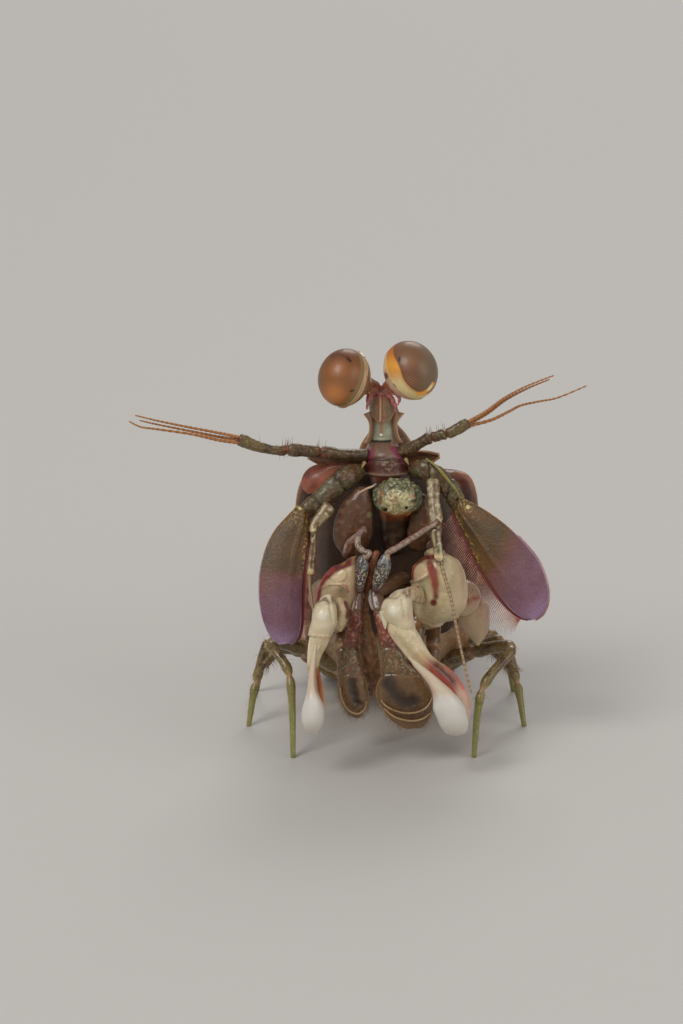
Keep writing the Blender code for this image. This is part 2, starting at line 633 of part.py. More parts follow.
def make_raptor(side, carapace):
    """The great second limb: merus, carpus, propodus and the dactyl with its clubbed heel."""
    tag = SIDE_TAGS[side]
    row = RAPTORS[side]
    merus = limb("raptor_merus_" + tag, row["merus"], [(1.1, 1.7), (1.45, 2.3), (1.5, 2.65), (1.35, 2.35)],
                 mirrored(side, (0.83, -0.45, 0.0)), sides=12, spans=3)
    hip = limb("hip", row["hip"], [(0.9, 0.9), (1.0, 1.1)], mirrored(side, (0.83, -0.45, 0.0)), spans=1)
    merus = seat(fuse([merus, hip]), carapace)
    block = limb("raptor_carpus_" + tag, row["carpus"], [(0.95, 0.9), (1.25, 1.2), (1.25, 1.2), (1.0, 1.0)],
                 ACROSS, spans=1)
    knob = limb("knob", [row["carpus"][1], row["wrist"]], [(0.9, 0.9), (0.75, 0.9)], (0.6, -0.8, 0.0), spans=1)
    spine = spike("spine", *row["carpus_spine"], 0.4)
    propodus = limb("raptor_propodus_" + tag, row["propodus"], row["propodus_sizes"], row["plane"], spans=2)
    dactyl = limb("raptor_dactyl_" + tag, row["dactyl"], row["dactyl_sizes"], row["plane"], spans=2, sides=10)
    carpus = seat(fuse([block, knob, spine]), merus)
    seat(propodus, dactyl, carpus)
    return merus, carpus, propodus, dactyl


def make_thorax():
    """The four open somites behind the carapace, which carry the walking legs."""
    made = []
    length = (THORAX_END - CARAPACE_LENGTH) / 4
    for index in range(4):
        start = CARAPACE_LENGTH + GAP + index * length
        end = start + length - GAP
        width = 6.8 - 0.12 * index
        made.append(shell("thorax_%d" % (index + 5), [
            (start, width - 0.35, 3.0, 2.5),
            ((start + end) / 2, width, 3.3, 2.8),
            (end, width - 0.25, 3.1, 2.6),
        ]))
    return made


def make_walking_leg(number, side, *somites):
    """A slender leg with its side branch, standing on a small flat."""
    tag = SIDE_TAGS[side]
    knee, ankle, foot = WALKING_LEGS[side][number]
    s = CARAPACE_LENGTH + (number + 0.5) * (THORAX_END - CARAPACE_LENGTH) / 4
    hip = on_body(s, side * 4.4, -1.9)
    thigh = hip.lerp(Vector(knee), 0.5) + Vector((0, 0, 0.4))
    leg = limb("walking_leg_%d_%s" % (number, tag), [hip, thigh, knee, ankle, foot],
               [(0.7, 0.62), (0.56, 0.5), (0.45, 0.42), (0.38, 0.36), (0.32, 0.32)], (0, 1, 0.1), sides=7)
    branch_path = [thigh, thigh + Vector((side * 2.0, -0.6, 0.2)), thigh + Vector((side * 3.4, -1.0, -1.3))]
    branch_sizes = [(0.34, 0.34), (0.32, 0.32), (THINNEST, THINNEST)]
    branch = limb("branch", branch_path, branch_sizes, (0, 1, 0.1), sides=6, spans=2)
    return stand(seat(fuse([leg, branch]), *somites))


REAR_SPINES = (-4.4, -2.6, -0.9, 0.9, 2.6, 4.4)


def rear_spine(end, x):
    """One spine of the last somite, x across from its middle and a little outwards at the tip."""
    root = on_body(end - 1.4, x, 2.5 - 0.035 * x * x)
    tip = on_body(end + 0.9, x * 1.08, 2.6 - 0.04 * x * x)
    return spike("spine", root, tip, 0.45)


def make_abdomen():
    """The six somites of the tail. The last one bears six spines on its rear edge."""
    made = []
    start = THORAX_END + GAP
    for index, length in enumerate(ABDOMEN_LENGTHS):
        end = start + length - GAP
        width = ABDOMEN_WIDTHS[index]
        belly = 2.35 - 0.12 * index
        somite = shell("abdomen_%d" % (index + 1), [
            (start, width - 0.45, 2.7, belly), (start + 0.25 * length, width - 0.05, 3.1, belly + 0.1),
            (start + 0.75 * length, width, 3.1, belly + 0.1), (end, width - 0.2, 2.8, belly),
        ])
        if index == len(ABDOMEN_LENGTHS) - 1:
            somite = fuse([somite, *[rear_spine(end, x) for x in REAR_SPINES]])
        made.append(somite)
        start = end + GAP
    return made


def make_telson(last_somite):
    """The shield of the tail, ridged along its back and toothed behind."""
    start = BODY_LENGTH - TELSON_LENGTH
    stations = [start + TELSON_LENGTH * share for share in (0.0, 0.25, 0.55, 0.8, 0.93)]
    plate_body = leaf("telson", [on_body(s, 0.0, 0.0) for s in stations], [4.9, 5.3, 5.1, 4.3, 3.2],
                      body_frame(start).col[0].to_3d(), 1.3, camber=1.0)
    pieces = [plate_body]
    for x, rise in ((0.0, 1.75), (-1.7, 1.5), (1.7, 1.5), (-3.3, 1.0), (3.3, 1.0)):
        ridge = [on_body(start + 1.0, x * 1.1, rise - 0.2), on_body(start + 4.5, x * 1.15, rise),
                 on_body(start + 8.2, x * 0.9, rise - 0.4)]
        pieces.append(limb("ridge", ridge, [(0.3, 0.35), (0.4, 0.5), (0.25, 0.3)], (1, 0, 0), sides=4, spans=1))
    for x, reach in ((1.1, 0.0), (2.9, -0.9), (4.5, -2.6)):
        for side in (-1, 1):
            root = on_body(BODY_LENGTH - 2.2 + reach * 0.8, side * (x - 0.25), 0.2)
            pieces.append(spike("tooth", root, on_body(BODY_LENGTH + reach, side * x, -0.1), 0.75, sides=6))
    return stand(seat(fuse(pieces), last_somite))


def make_uropod(side, last_somite, telson):
    """One side of the tail fan: protopod with its forked spine, jointed outer paddle and inner paddle."""
    tag = SIDE_TAGS[side]
    s = UROPOD_START
    protopod = limb("uropod_" + tag, [on_body(s, side * 4.5, -1.2), on_body(s + 1.8, side * 5.6, -1.2),
                                      on_body(s + 3.4, side * 6.4, -1.1)],
                    [(1.2, 0.8), (1.2, 0.75), (0.9, 0.6)], (1, 0, 0), spans=2)
    outer = leaf("outer", [on_body(s + 2.2, side * 6.1, -1.0), on_body(s + 4.5, side * 7.3, -0.8),
                           on_body(s + 6.8, side * 8.1, -0.9)], [0.7, 1.15, 1.0], (1, 0, 0), 0.6, columns=4)
    paddle = leaf("paddle", [on_body(s + 6.3, side * 7.9, -0.9), on_body(s + 8.5, side * 8.4, -1.0),
                             on_body(s + 10.4, side * 8.5, -1.2), on_body(s + 11.5, side * 8.5, -1.3)],
                  [0.7, 1.2, 1.0, 0.35], (1, 0, 0), 0.55, columns=4)
    inner = leaf("inner", [on_body(s + 2.4, side * 6.0, -1.2), on_body(s + 5.0, side * 6.3, -1.5),
                           on_body(s + 7.5, side * 6.3, -1.6), on_body(s + 8.8, side * 6.2, -1.7)],
                 [0.45, 0.75, 0.7, 0.3], (1, 0, 0), 0.55, columns=4)
    fork = []
    for x, reach in ((0.0, 7.2), (0.75, 5.6)):
        root = on_body(s + 1.8, side * (5.2 + x), -1.6)
        fork.append(spike("fork", root, on_body(s + reach, side * (5.0 + x), -2.0), 0.42))
    edge = [spike("spine", on_body(s + 3.4 + 0.75 * k, side * (7.2 + 0.32 * k), -0.9),
                  on_body(s + 4.6 + 0.75 * k, side * (8.6 + 0.3 * k), -0.9), 0.3, sides=4) for k in range(5)]
    body = fuse([protopod, outer, paddle, inner, *fork, *edge])
    return stand(seat(body, last_somite, telson))


def make_pleopod(number, side, somite):
    """A swimmeret folded back under its somite."""
    tag = SIDE_TAGS[side]
    s = THORAX_END + sum(ABDOMEN_LENGTHS[:number - 1]) + 1.3
    root = on_body(s, side * 3.2, -1.9)
    path = [root]
    for behind, across, height in ((1.4, 3.7, 1.35), (3.0, 4.3, 0.95), (4.6, 4.6, 0.8)):
        path.append(near_floor(s + behind, side * across, height))
    flap = leaf("pleopod_%d_%s" % (number, tag), path, [0.5, 1.2, 1.5, 0.7], (1, 0, 0), 0.5, columns=4)
    return seat(flap, somite)


def make_material(slot):
    """One finish of the shell, in the colour of its slot."""
    material = bpy.data.materials.new(slot)
    material.use_nodes = True
    shader = material.node_tree.nodes["Principled BSDF"]
    shader.inputs["Base Color"].default_value = COLOURS[slot]
    shader.inputs["Roughness"].default_value = ROUGHNESS[slot]
    shader.inputs["Metallic"].default_value = 0.0
    return material


def finish(rows):
    """Scale every piece to metres, centre the animal over the origin, and give each its material."""
    home = bpy.data.collections.new("mantis_shrimp")
    bpy.context.scene.collection.children.link(home)
    materials = {slot: make_material(slot) for slot in COLOURS}
    corners = [vert.co for _, obj in rows for vert in obj.data.vertices]
    low = [min(corner[axis] for corner in corners) for axis in range(3)]
    high = [max(corner[axis] for corner in corners) for axis in range(3)]
    middle = Vector(((low[0] + high[0]) / 2, (low[1] + high[1]) / 2, low[2]))
    for slot, obj in rows:
        obj.data.transform(Matrix.Scale(MM, 4) @ Matrix.Translation(-middle))
        obj.data.materials.clear()
        obj.data.materials.append(materials[slot])
        for old in list(obj.users_collection):
            old.objects.unlink(obj)
        home.objects.link(obj)
    return middle


def main():
    """Model the animal from its head to its tail fan."""
    clear_scene()
    rows = []
    carapace = make_carapace()
    antennular, ophthalmic = make_neck(carapace)
    rows += [("shell", carapace), ("shell", make_rostral_plate())]
    rows += [("head_shell", antennular), ("head_shell", ophthalmic)]
    antennae = {}
    antennules = {}
    for side in (LEFT, RIGHT):
        cornea, stalk = make_eye(side, ophthalmic)
        antennae[side] = make_antenna(side, carapace)
        rows += [("cornea", cornea), ("eyestalk", stalk), ("feeler", antennae[side])]
        antennules[side] = make_antennule(side, antennular)
        rows.append(("feeler", antennules[side]))
        rows.append(("scale", make_antennal_scale(side, antennae[side])))
    mouth = make_mouth(carapace)
    seat(mouth, antennular, *antennae.values(), *antennules.values())
    rows.append(("labrum", mouth))
    for side in (LEFT, RIGHT):
        rows += [("maxilliped", obj) for obj in make_maxillipeds(side, carapace, mouth)]
        merus, carpus, propodus, dactyl = make_raptor(side, carapace)
        rows += [("arm", merus), ("arm", carpus), ("arm", propodus), ("club", dactyl)]
    thorax = make_thorax()
    abdomen = make_abdomen()
    telson = make_telson(abdomen[-1])
    rows += [("shell", obj) for obj in (*thorax, *abdomen, telson)]
    for side in (LEFT, RIGHT):
        for number in (1, 2, 3):
            rows.append(("leg", make_walking_leg(number, side, thorax[number - 1], thorax[number])))
        rows += [("leg", make_pleopod(number, side, abdomen[number - 1])) for number in range(1, 6)]
        rows.append(("scale", make_uropod(side, abdomen[-1], telson)))
    return finish(rows)


main()
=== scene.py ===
# %% [markdown]
# # A pink-eared mantis shrimp, dressed over its solids
# The imported solids are the skeleton of this scene: every shell, limb and feeler here is a finer skin over
# one of them. The frame is loaded first, because each piece takes its place from it.

# %% Load the frame
import math
import random

import bmesh
import bpy
import numpy as np
from mathutils import Matrix, Vector, noise


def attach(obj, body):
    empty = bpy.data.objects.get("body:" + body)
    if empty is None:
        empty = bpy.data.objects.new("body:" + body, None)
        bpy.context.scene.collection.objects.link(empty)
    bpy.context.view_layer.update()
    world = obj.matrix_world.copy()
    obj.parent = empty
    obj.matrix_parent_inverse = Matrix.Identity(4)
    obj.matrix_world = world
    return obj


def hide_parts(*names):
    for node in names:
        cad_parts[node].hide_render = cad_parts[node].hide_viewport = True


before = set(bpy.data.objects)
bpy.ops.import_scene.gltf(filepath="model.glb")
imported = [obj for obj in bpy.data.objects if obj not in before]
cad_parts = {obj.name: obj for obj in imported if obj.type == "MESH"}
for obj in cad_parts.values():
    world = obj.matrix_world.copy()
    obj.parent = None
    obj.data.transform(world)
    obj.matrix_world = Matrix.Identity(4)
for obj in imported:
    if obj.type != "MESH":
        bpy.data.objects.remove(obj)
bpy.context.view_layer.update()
random.seed(7)
print("frame nodes:", len(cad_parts))

# %% [markdown]
# ## One ruler for everything
# A mantis shrimp is small, so places are written in millimetres, with the head's middle near x = 0. The
# solids' own centre is taken off once, when a piece is finished, which is easier to read than metres with
# six decimals.

# %% Millimetres and their place in the world
MM = 0.001
HOME = Vector((-1.8928, 22.8968, 0.0))
PLACE = Matrix.Scale(MM, 4) @ Matrix.Translation(-HOME)
LEFT, RIGHT = 1, -1
TAGS = {LEFT: "l", RIGHT: "r"}
ACROSS = (1.0, 0.0, 0.0)
print("one millimetre is", MM, "of the scene's units")

# %% [markdown]
# ## The camera comes first
# The photograph looks slightly down on the head from the front. A camera can be placed by eye or worked out
# from a few landmarks. Here it was worked out: the distance and lens give 12.5 pixels for each millimetre
# at the face.

# %% Camera
LOOK_AT = Vector((-3.72, 0.0, 19.35))
ELEVATION = math.radians(14)
DISTANCE = 260.0
SENSOR = 36.0
FOCUS = 3250.0
CENTRE_PIXEL = (341.5, 512.0)
LENS = SENSOR * FOCUS / (2 * CENTRE_PIXEL[1])
BACK = Vector((0.0, -math.cos(ELEVATION), math.sin(ELEVATION)))
RISE = Vector((0.0, math.sin(ELEVATION), math.cos(ELEVATION)))
EYE_POINT = LOOK_AT + BACK * DISTANCE


def make_camera():
    """The photograph's camera."""
    data = bpy.data.cameras.new("camera")
    data.sensor_fit = "VERTICAL"
    data.sensor_height = SENSOR
    data.lens = LENS
    data.clip_start = 0.01
    camera = bpy.data.objects.new("camera", data)
    bpy.context.scene.collection.objects.link(camera)
    camera.location = PLACE @ EYE_POINT
    camera.rotation_euler = (math.radians(90) - ELEVATION, 0.0, 0.0)
    bpy.context.scene.camera = camera
    return camera


def seen(co):
    """Where the photograph shows a place, in its pixels."""
    offset = co - EYE_POINT
    scale = FOCUS / -offset.dot(BACK)
    return Vector((CENTRE_PIXEL[0] + offset.x * scale, CENTRE_PIXEL[1] - offset.dot(RISE) * scale))


def spot(pixel_x, pixel_y, y):
    """The place at depth y, in millimetres, that the photograph shows at a pixel."""
    ray = Vector((pixel_x - CENTRE_PIXEL[0], 0, 0)) - RISE * (pixel_y - CENTRE_PIXEL[1]) - BACK * FOCUS
    return EYE_POINT + ray * ((y - EYE_POINT.y) / ray.y)


print("camera at", make_camera().location[:], "sees the face at", seen(Vector((-0.3, 2.0, 23.0)))[:])

# %% [markdown]
# ## Light and floor
# The photograph has one soft flash from the upper left. A large soft lamp there, a weaker one opposite and
# one behind keep the thin shells readable from every side, over a plain pale floor.

# %% Studio
LAMPS = (
    ("key", (-900.0, -1150.0, 1350.0), 800.0, 15.0),
    ("fill", (1200.0, -900.0, 600.0), 1000.0, 4.5),
    ("rim", (250.0, 1500.0, 1300.0), 900.0, 9.0),
)
FLOOR_SIZE = 12.0


def make_lamp(name, place, size, power):
    """A square soft lamp that looks at the animal."""
    data = bpy.data.lights.new(name, "AREA")
    data.size = size * MM
    data.energy = power
    lamp = bpy.data.objects.new(name, data)
    lamp.location = PLACE @ Vector(place)
    lamp.rotation_euler = (PLACE @ Vector((0.0, 5.0, 14.0)) - lamp.location).to_track_quat("-Z",
                                                                                           "Y").to_euler()
    bpy.context.scene.collection.objects.link(lamp)


def make_floor():
    """A plain pale floor, which is not part of the animal."""
    bm = bmesh.new()
    bmesh.ops.create_grid(bm, x_segments=1, y_segments=1, size=FLOOR_SIZE / 2)
    mesh = bpy.data.meshes.new("floor")
    bm.to_mesh(mesh)
    bm.free()
    floor = bpy.data.objects.new("floor", mesh)
    paint = bpy.data.materials.new("floor_paint")
    paint.use_nodes = True
    shader = paint.node_tree.nodes["Principled BSDF"]
    shader.inputs["Base Color"].default_value = (0.62, 0.60, 0.57, 1.0)
    shader.inputs["Roughness"].default_value = 0.75
    mesh.materials.append(paint)
    bpy.context.scene.collection.objects.link(floor)


def make_world():
    """Even grey light from all round."""
    world = bpy.data.worlds.new("studio")
    bpy.context.scene.world = world
    world.use_nodes = True
    sky = world.node_tree.nodes["Background"]
    sky.inputs["Color"].default_value = (1.0, 0.97, 0.93, 1.0)
    sky.inputs["Strength"].default_value = 0.34


for row in LAMPS:
    make_lamp(*row)
make_floor()
make_world()
bpy.context.scene.view_settings.view_transform = "Standard"
print("lamps:", len(LAMPS))

# %% [markdown]
# ## Smooth rows and frames
# Every limb is drawn as a few points with a half width and a half depth at each. A smooth row runs through
# them, and each step gets a frame: X as long as the half width, Y as the half depth, Z along the limb.

# %% Rows and frames


def clamp(value):
    """Value held between 0 and 1."""
    return max(0.0, min(1.0, value))


def ease(value, start=0.0, end=1.0):
    """0 before start, 1 after end, and a smooth step between."""
    t = clamp((value - start) / (end - start))
    return t * t * (3 - 2 * t)


def hump(offset, width):
    """1 where offset is 0, falling off smoothly over width."""
    return math.exp(-(offset / width) ** 2)


def smooth_row(values, spans):
    """Numbers or vectors on a smooth curve through values, with spans steps between each pair."""
    row = []
    last = len(values) - 1
    for index in range(last):
        a, b = values[max(index - 1, 0)], values[index]
        c, d = values[index + 1], values[min(index + 2, last)]
        for step in range(spans):
            t = step / spans
            row.append(0.5 * (2 * b + (c - a) * t + (2 * a - 5 * b + 4 * c - d) * t * t
                              + (3 * b - a - 3 * c + d) * t * t * t))
    row.append(values[last])
    return row


def frame_of(x_axis, y_axis, z_axis, centre):
    """The matrix with these columns."""
    rows = [(x_axis[i], y_axis[i], z_axis[i], centre[i]) for i in range(3)]
    return Matrix((*rows, (0.0, 0.0, 0.0, 1.0)))


CAP_TURNS = [math.radians(degrees) for degrees in (25, 50, 70, 84)]
FULL_CAPS = (0.8, 0.8)
THINNEST = 0.02


def frames_along(path, sizes, across, spans=6, caps=FULL_CAPS):
    """Frames along a path. Caps say how far each end bulges, as a share of its half depth."""
    centres = smooth_row([Vector(point) for point in path], spans)
    halves = smooth_row([Vector(size) for size in sizes], spans)
    frames = []
    for index, centre in enumerate(centres):
        ahead = (centres[min(index + 1, len(centres) - 1)] - centres[max(index - 1, 0)]).normalized()
        side = Vector(across)
        side = (side - ahead * side.dot(ahead)).normalized()
        width, depth = (max(THINNEST, half) for half in halves[index])
        frames.append((centre, side, ahead.cross(side), ahead, width, depth))

    def capped(row, way, bulge):
        centre, side, rise, ahead, width, depth = row
        made = []
        for turn in CAP_TURNS:
            share = math.cos(turn)
            reach = math.sin(turn) * bulge * min(width, depth) * way
            made.append((centre + ahead * reach, side, rise, ahead, width * share, depth * share))
        return made

    rows = capped(frames[0], -1, caps[0])[::-1] + frames + capped(frames[-1], 1, caps[1])
    return [frame_of(side * width, rise * depth, ahead, centre) for centre, side, rise, ahead,
            width, depth in rows]


print("a cap adds", len(CAP_TURNS), "rings to each end of a limb")

# %% [markdown]
# ## Growing a limb
# Blender can loft a tube by extruding one ring of edges again and again. Each new ring is moved from the
# last frame to the next, so the rings follow the limb exactly. Two things are noted on every corner: how
# far along it lies and on which side, because the finishes and the hairs ask for that later.

# %% Growing
BARE = (0.0, 0.0, 0.0, 0.0)


def blank():
    """An empty mesh, with the layers that hold each corner's way and tint."""
    bm = bmesh.new()
    return bm, bm.verts.layers.float_color.new("way"), bm.verts.layers.float_color.new("tint")


def grow(frames, sides=24, section=None):
    """A closed tube through frames. Section can bend the unit circle into another outline."""
    bm, way, tint = blank()
    bmesh.ops.create_circle(bm, segments=sides, radius=1.0)
    for vert in bm.verts:
        vert[way] = (0.0, vert.co.x, vert.co.y, 1.0)
        vert[tint] = BARE
        if section:
            vert.co.x, vert.co.y = section(vert.co.x, vert.co.y)
    bmesh.ops.transform(bm, matrix=frames[0], verts=bm.verts)
    bmesh.ops.edgeloop_fill(bm, edges=bm.edges[:])
    edges = bm.edges[:]
    last = len(frames) - 1
    for index in range(last):
        made = bmesh.ops.extrude_edge_only(bm, edges=edges)["geom"]
        verts = [part for part in made if isinstance(part, bmesh.types.BMVert)]
        edges = [part for part in made if isinstance(part, bmesh.types.BMEdge) and part.is_boundary]
        bmesh.ops.transform(bm, matrix=frames[index + 1] @ frames[index].inverted(), verts=verts)
        for vert in verts:
            vert[way] = ((index + 1) / last, *vert[way][1:])
    bmesh.ops.edgeloop_fill(bm, edges=edges)
    bmesh.ops.recalc_face_normals(bm, faces=bm.faces)
    return bm


def limb(path, sizes, across=ACROSS, sides=24, spans=6, caps=FULL_CAPS):
    """A smooth closed tube along a path."""
    return grow(frames_along(path, sizes, across, spans, caps), sides)


def ball(centre, axis, radii, segments=48, rings=32):
    """An ellipsoid whose third radius lies along axis."""
    bm, way, tint = blank()
    bmesh.ops.create_uvsphere(bm, u_segments=segments, v_segments=rings, radius=1.0)
    for vert in bm.verts:
        vert[tint] = BARE
        vert[way] = (vert.co.z * 0.5 + 0.5, vert.co.x, vert.co.y, 1.0)
    turn = Vector(axis).to_track_quat("Z", "Y").to_matrix().to_4x4()
    bmesh.ops.transform(bm, matrix=Matrix.Translation(centre) @ turn @ Matrix.Diagonal((*radii, 1.0)),
                        verts=bm.verts)
    return bm


def sheet(rows, columns, place, thickness):
    """A thin plate. Place gives the middle of the plate at (along, across), both from 0 to 1."""
    bm, way, tint = blank()
    bmesh.ops.create_grid(bm, x_segments=rows, y_segments=columns, size=0.5)
    for vert in bm.verts:
        vert[tint] = BARE
        along, across = vert.co.x + 0.5, vert.co.y + 0.5
        vert[way] = (along, across * 2 - 1, 0.0, 1.0)
        vert.co = place(along, across)
    bmesh.ops.recalc_face_normals(bm, faces=bm.faces)
    bmesh.ops.solidify(bm, geom=bm.faces[:], thickness=thickness)
    bmesh.ops.recalc_face_normals(bm, faces=bm.faces)
    return bm
print("limb, ball and sheet are ready")

# %% [markdown]
# ## Limbs as the photograph shows them
# What faces the camera is easiest to model from its two edges in the photograph. Each row gives the left
# and the right edge in pixels and a depth in millimetres, so the piece lands where the photograph shows it.
# Plates are stretched between two such edges.

# %% Limbs as the photograph shows them


def drawn(rows, sides=48, spans=8, caps=FULL_CAPS):
    """A closed tube through rows of (left pixel x, y, right pixel x, y, depth, half depth)."""
    stations = smooth_row([Vector(row) for row in rows], spans)
    hoops = []
    for left_x, left_y, right_x, right_y, depth, half in stations:
        start, end = spot(left_x, left_y, depth), spot(right_x, right_y, depth)
        hoops.append((start.lerp(end, 0.5), (end - start) / 2, BACK * max(half, 0.03)))

    def capped(first, second, bulge):
        centre, x_axis, y_axis = first
        ahead = (centre - second[0]).normalized() * bulge * min(x_axis.length, y_axis.length)
        return [(centre + ahead * math.sin(turn), x_axis * math.cos(turn), y_axis * math.cos(turn))
                for turn in CAP_TURNS]

    hoops = capped(hoops[0], hoops[1], caps[0])[::-1] + hoops + capped(hoops[-1], hoops[-2], caps[1])
    frames = [frame_of(x, y, x.cross(y).normalized(), centre) for centre, x, y in hoops]
    return grow(frames, sides)


def traced(points, radii, sides=16, spans=8):
    """A round tube through points of (pixel x, pixel y, depth), radii thick in millimetres."""
    path = [spot(*point) for point in points]
    return limb(path, [(half, half) for half in radii], (0.0, 1.0, 0.0), sides, spans)


def panel(first, second, thickness, bulge=0.0, rows=40, columns=24, curve=None):
    """A plate between two edges of as many places each. Curve can shift it, from (along, across)."""
    spans = 10
    edges = [smooth_row([Vector(place) for place in edge], spans) for edge in (first, second)]
    last = len(edges[0]) - 1

    def place(along, across):
        at = along * last
        index = min(int(at), last - 1)
        start, end = (edge[index].lerp(edge[index + 1], at - index) for edge in edges)
        middle = start.lerp(end, across) + BACK * (bulge * 4 * across * (1 - across))
        return middle + curve(along, across) if curve else middle

    return sheet(rows, columns, place, thickness)


def joined(*parts):
    """Several meshes as one."""
    bm = bmesh.new()
    for part in parts:
        mesh = bpy.data.meshes.new("part")
        part.to_mesh(mesh)
        part.free()
        bm.from_mesh(mesh)
        bpy.data.meshes.remove(mesh)
    return bm


print("drawn, traced, panel and joined are ready")

# %% [markdown]
# ## Shaping and painting by rule
# A smooth tube looks like plastic hose. Real shell has swellings, pits and granules, and its colours lie in
# washes. Both are given as small rules that look at a corner's place and say how far to push it or how
# strongly to stain it. Painting by rule keeps the markings on the shell from every side.

# %% Shaping and painting


def tone(red, green, blue):
    """A screen colour as the light values that shaders want."""
    return Vector([((c / 255 + 0.055) / 1.055) ** 2.4 if c > 10 else c / 3294.6 for c in (red, green, blue)])


def push(bm, rule):
    """Move each corner along its normal by what rule says of (place, way), in millimetres."""
    way = bm.verts.layers.float_color["way"]
    bm.normal_update()
    moves = [(vert, vert.normal * rule(vert.co, vert[way])) for vert in bm.verts]
    for vert, move in moves:
        vert.co += move
    return bm


def paint(bm, rule):
    """Lay the washes that rule lists for (place, way), each a colour and a strength, one over the other.

    The fourth number of way is how squarely the shell faces the camera there.
    """
    way = bm.verts.layers.float_color["way"]
    tint = bm.verts.layers.float_color["tint"]
    bm.normal_update()
    for vert in bm.verts:
        colour, cover = Vector(vert[tint][:3]), vert[tint][3]
        facing = vert.normal.dot(BACK)
        for wash, strength in rule(vert.co, (*vert[way][:3], facing)):
            strength = clamp(strength)
            total = strength + cover * (1 - strength)
            if total > 0.001:
                colour = (wash * strength + colour * (cover * (1 - strength))) / total
            cover = total
        vert[tint] = (*colour, cover)
    return bm


def stained(bm, colour):
    """Lay one even, nearly opaque wash."""
    return paint(bm, lambda co, way: [(colour, 0.9)])


def near(co, centre, radius, soft=0.5):
    """1 inside a round spot and 0 outside it, with a soft rim."""
    return ease(1 - (co - Vector(centre)).length / radius, 0.0, soft)


def streak(co, points, radius, soft=0.5):
    """1 on a line through points and 0 further off than radius."""
    best = radius
    for start, end in zip(points, points[1:]):
        start, line = Vector(start), Vector(end) - Vector(start)
        t = clamp((co - start).dot(line) / line.length_squared)
        best = min(best, (co - start - line * t).length)
    return ease(1 - best / radius, 0.0, soft)


def cloud(co, scale, seed=0.0):
    """Even noise from about -1 to 1 with patches about 1/scale millimetres wide."""
    return noise.noise(Vector((co.x + seed, co.y - seed, co.z + 2 * seed)) * scale)


print("ivory is", [round(c, 3) for c in tone(222, 212, 184)])

# %% [markdown]
# ## Finishes
# Crustacean shell has a ground colour, darker mottling, pale flecks and a fine grain, under a thin wet
# gloss. All but the gloss is one shared effect, so it is a node group, and each finish gives it its own
# colours. The painted washes lie on top with ragged edges, as pigment cells do. The gloss stays in each
# finish itself.

# %% Node groups


def socket(tree, name, kind, value=None, output=False):
    """Add a named socket to a node group."""
    made = tree.interface.new_socket(name, in_out="OUTPUT" if output else "INPUT",
                                     socket_type="NodeSocket" + kind)
    if value is not None:
        made.default_value = value


def add(tree, kind, **settings):
    """Add a node and set its properties."""
    made = tree.nodes.new("ShaderNode" + kind)
    for name, value in settings.items():
        setattr(made, name, value)
    return made


def mixed(tree, factor, first, second):
    """Mix two colours. Each input is a socket or a plain value."""
    mix = add(tree, "Mix", data_type="RGBA", clamp_factor=True)
    for index, value in ((0, factor), (6, first), (7, second)):
        if isinstance(value, bpy.types.NodeSocket):
            tree.links.new(value, mix.inputs[index])
        else:
            mix.inputs[index].default_value = value
    return mix.outputs[2]


def stepped(tree, value, low, high):
    """The value's smooth step from low to high."""
    step = add(tree, "MapRange", interpolation_type="SMOOTHSTEP")
    tree.links.new(value, step.inputs["Value"])
    for name, limit in (("From Min", low), ("From Max", high)):
        if isinstance(limit, bpy.types.NodeSocket):
            tree.links.new(limit, step.inputs[name])
        else:
            step.inputs[name].default_value = limit
    return step.outputs["Result"]
print("socket, add, mixed and stepped are ready")

# %% [markdown]
# ## The speckled shell
# Three noise textures give the patches, the flecks and the grain. The painted wash is read from the
# corners, and the flecks shift its strength a little, so that its edge is ragged.

# %% The speckled shell


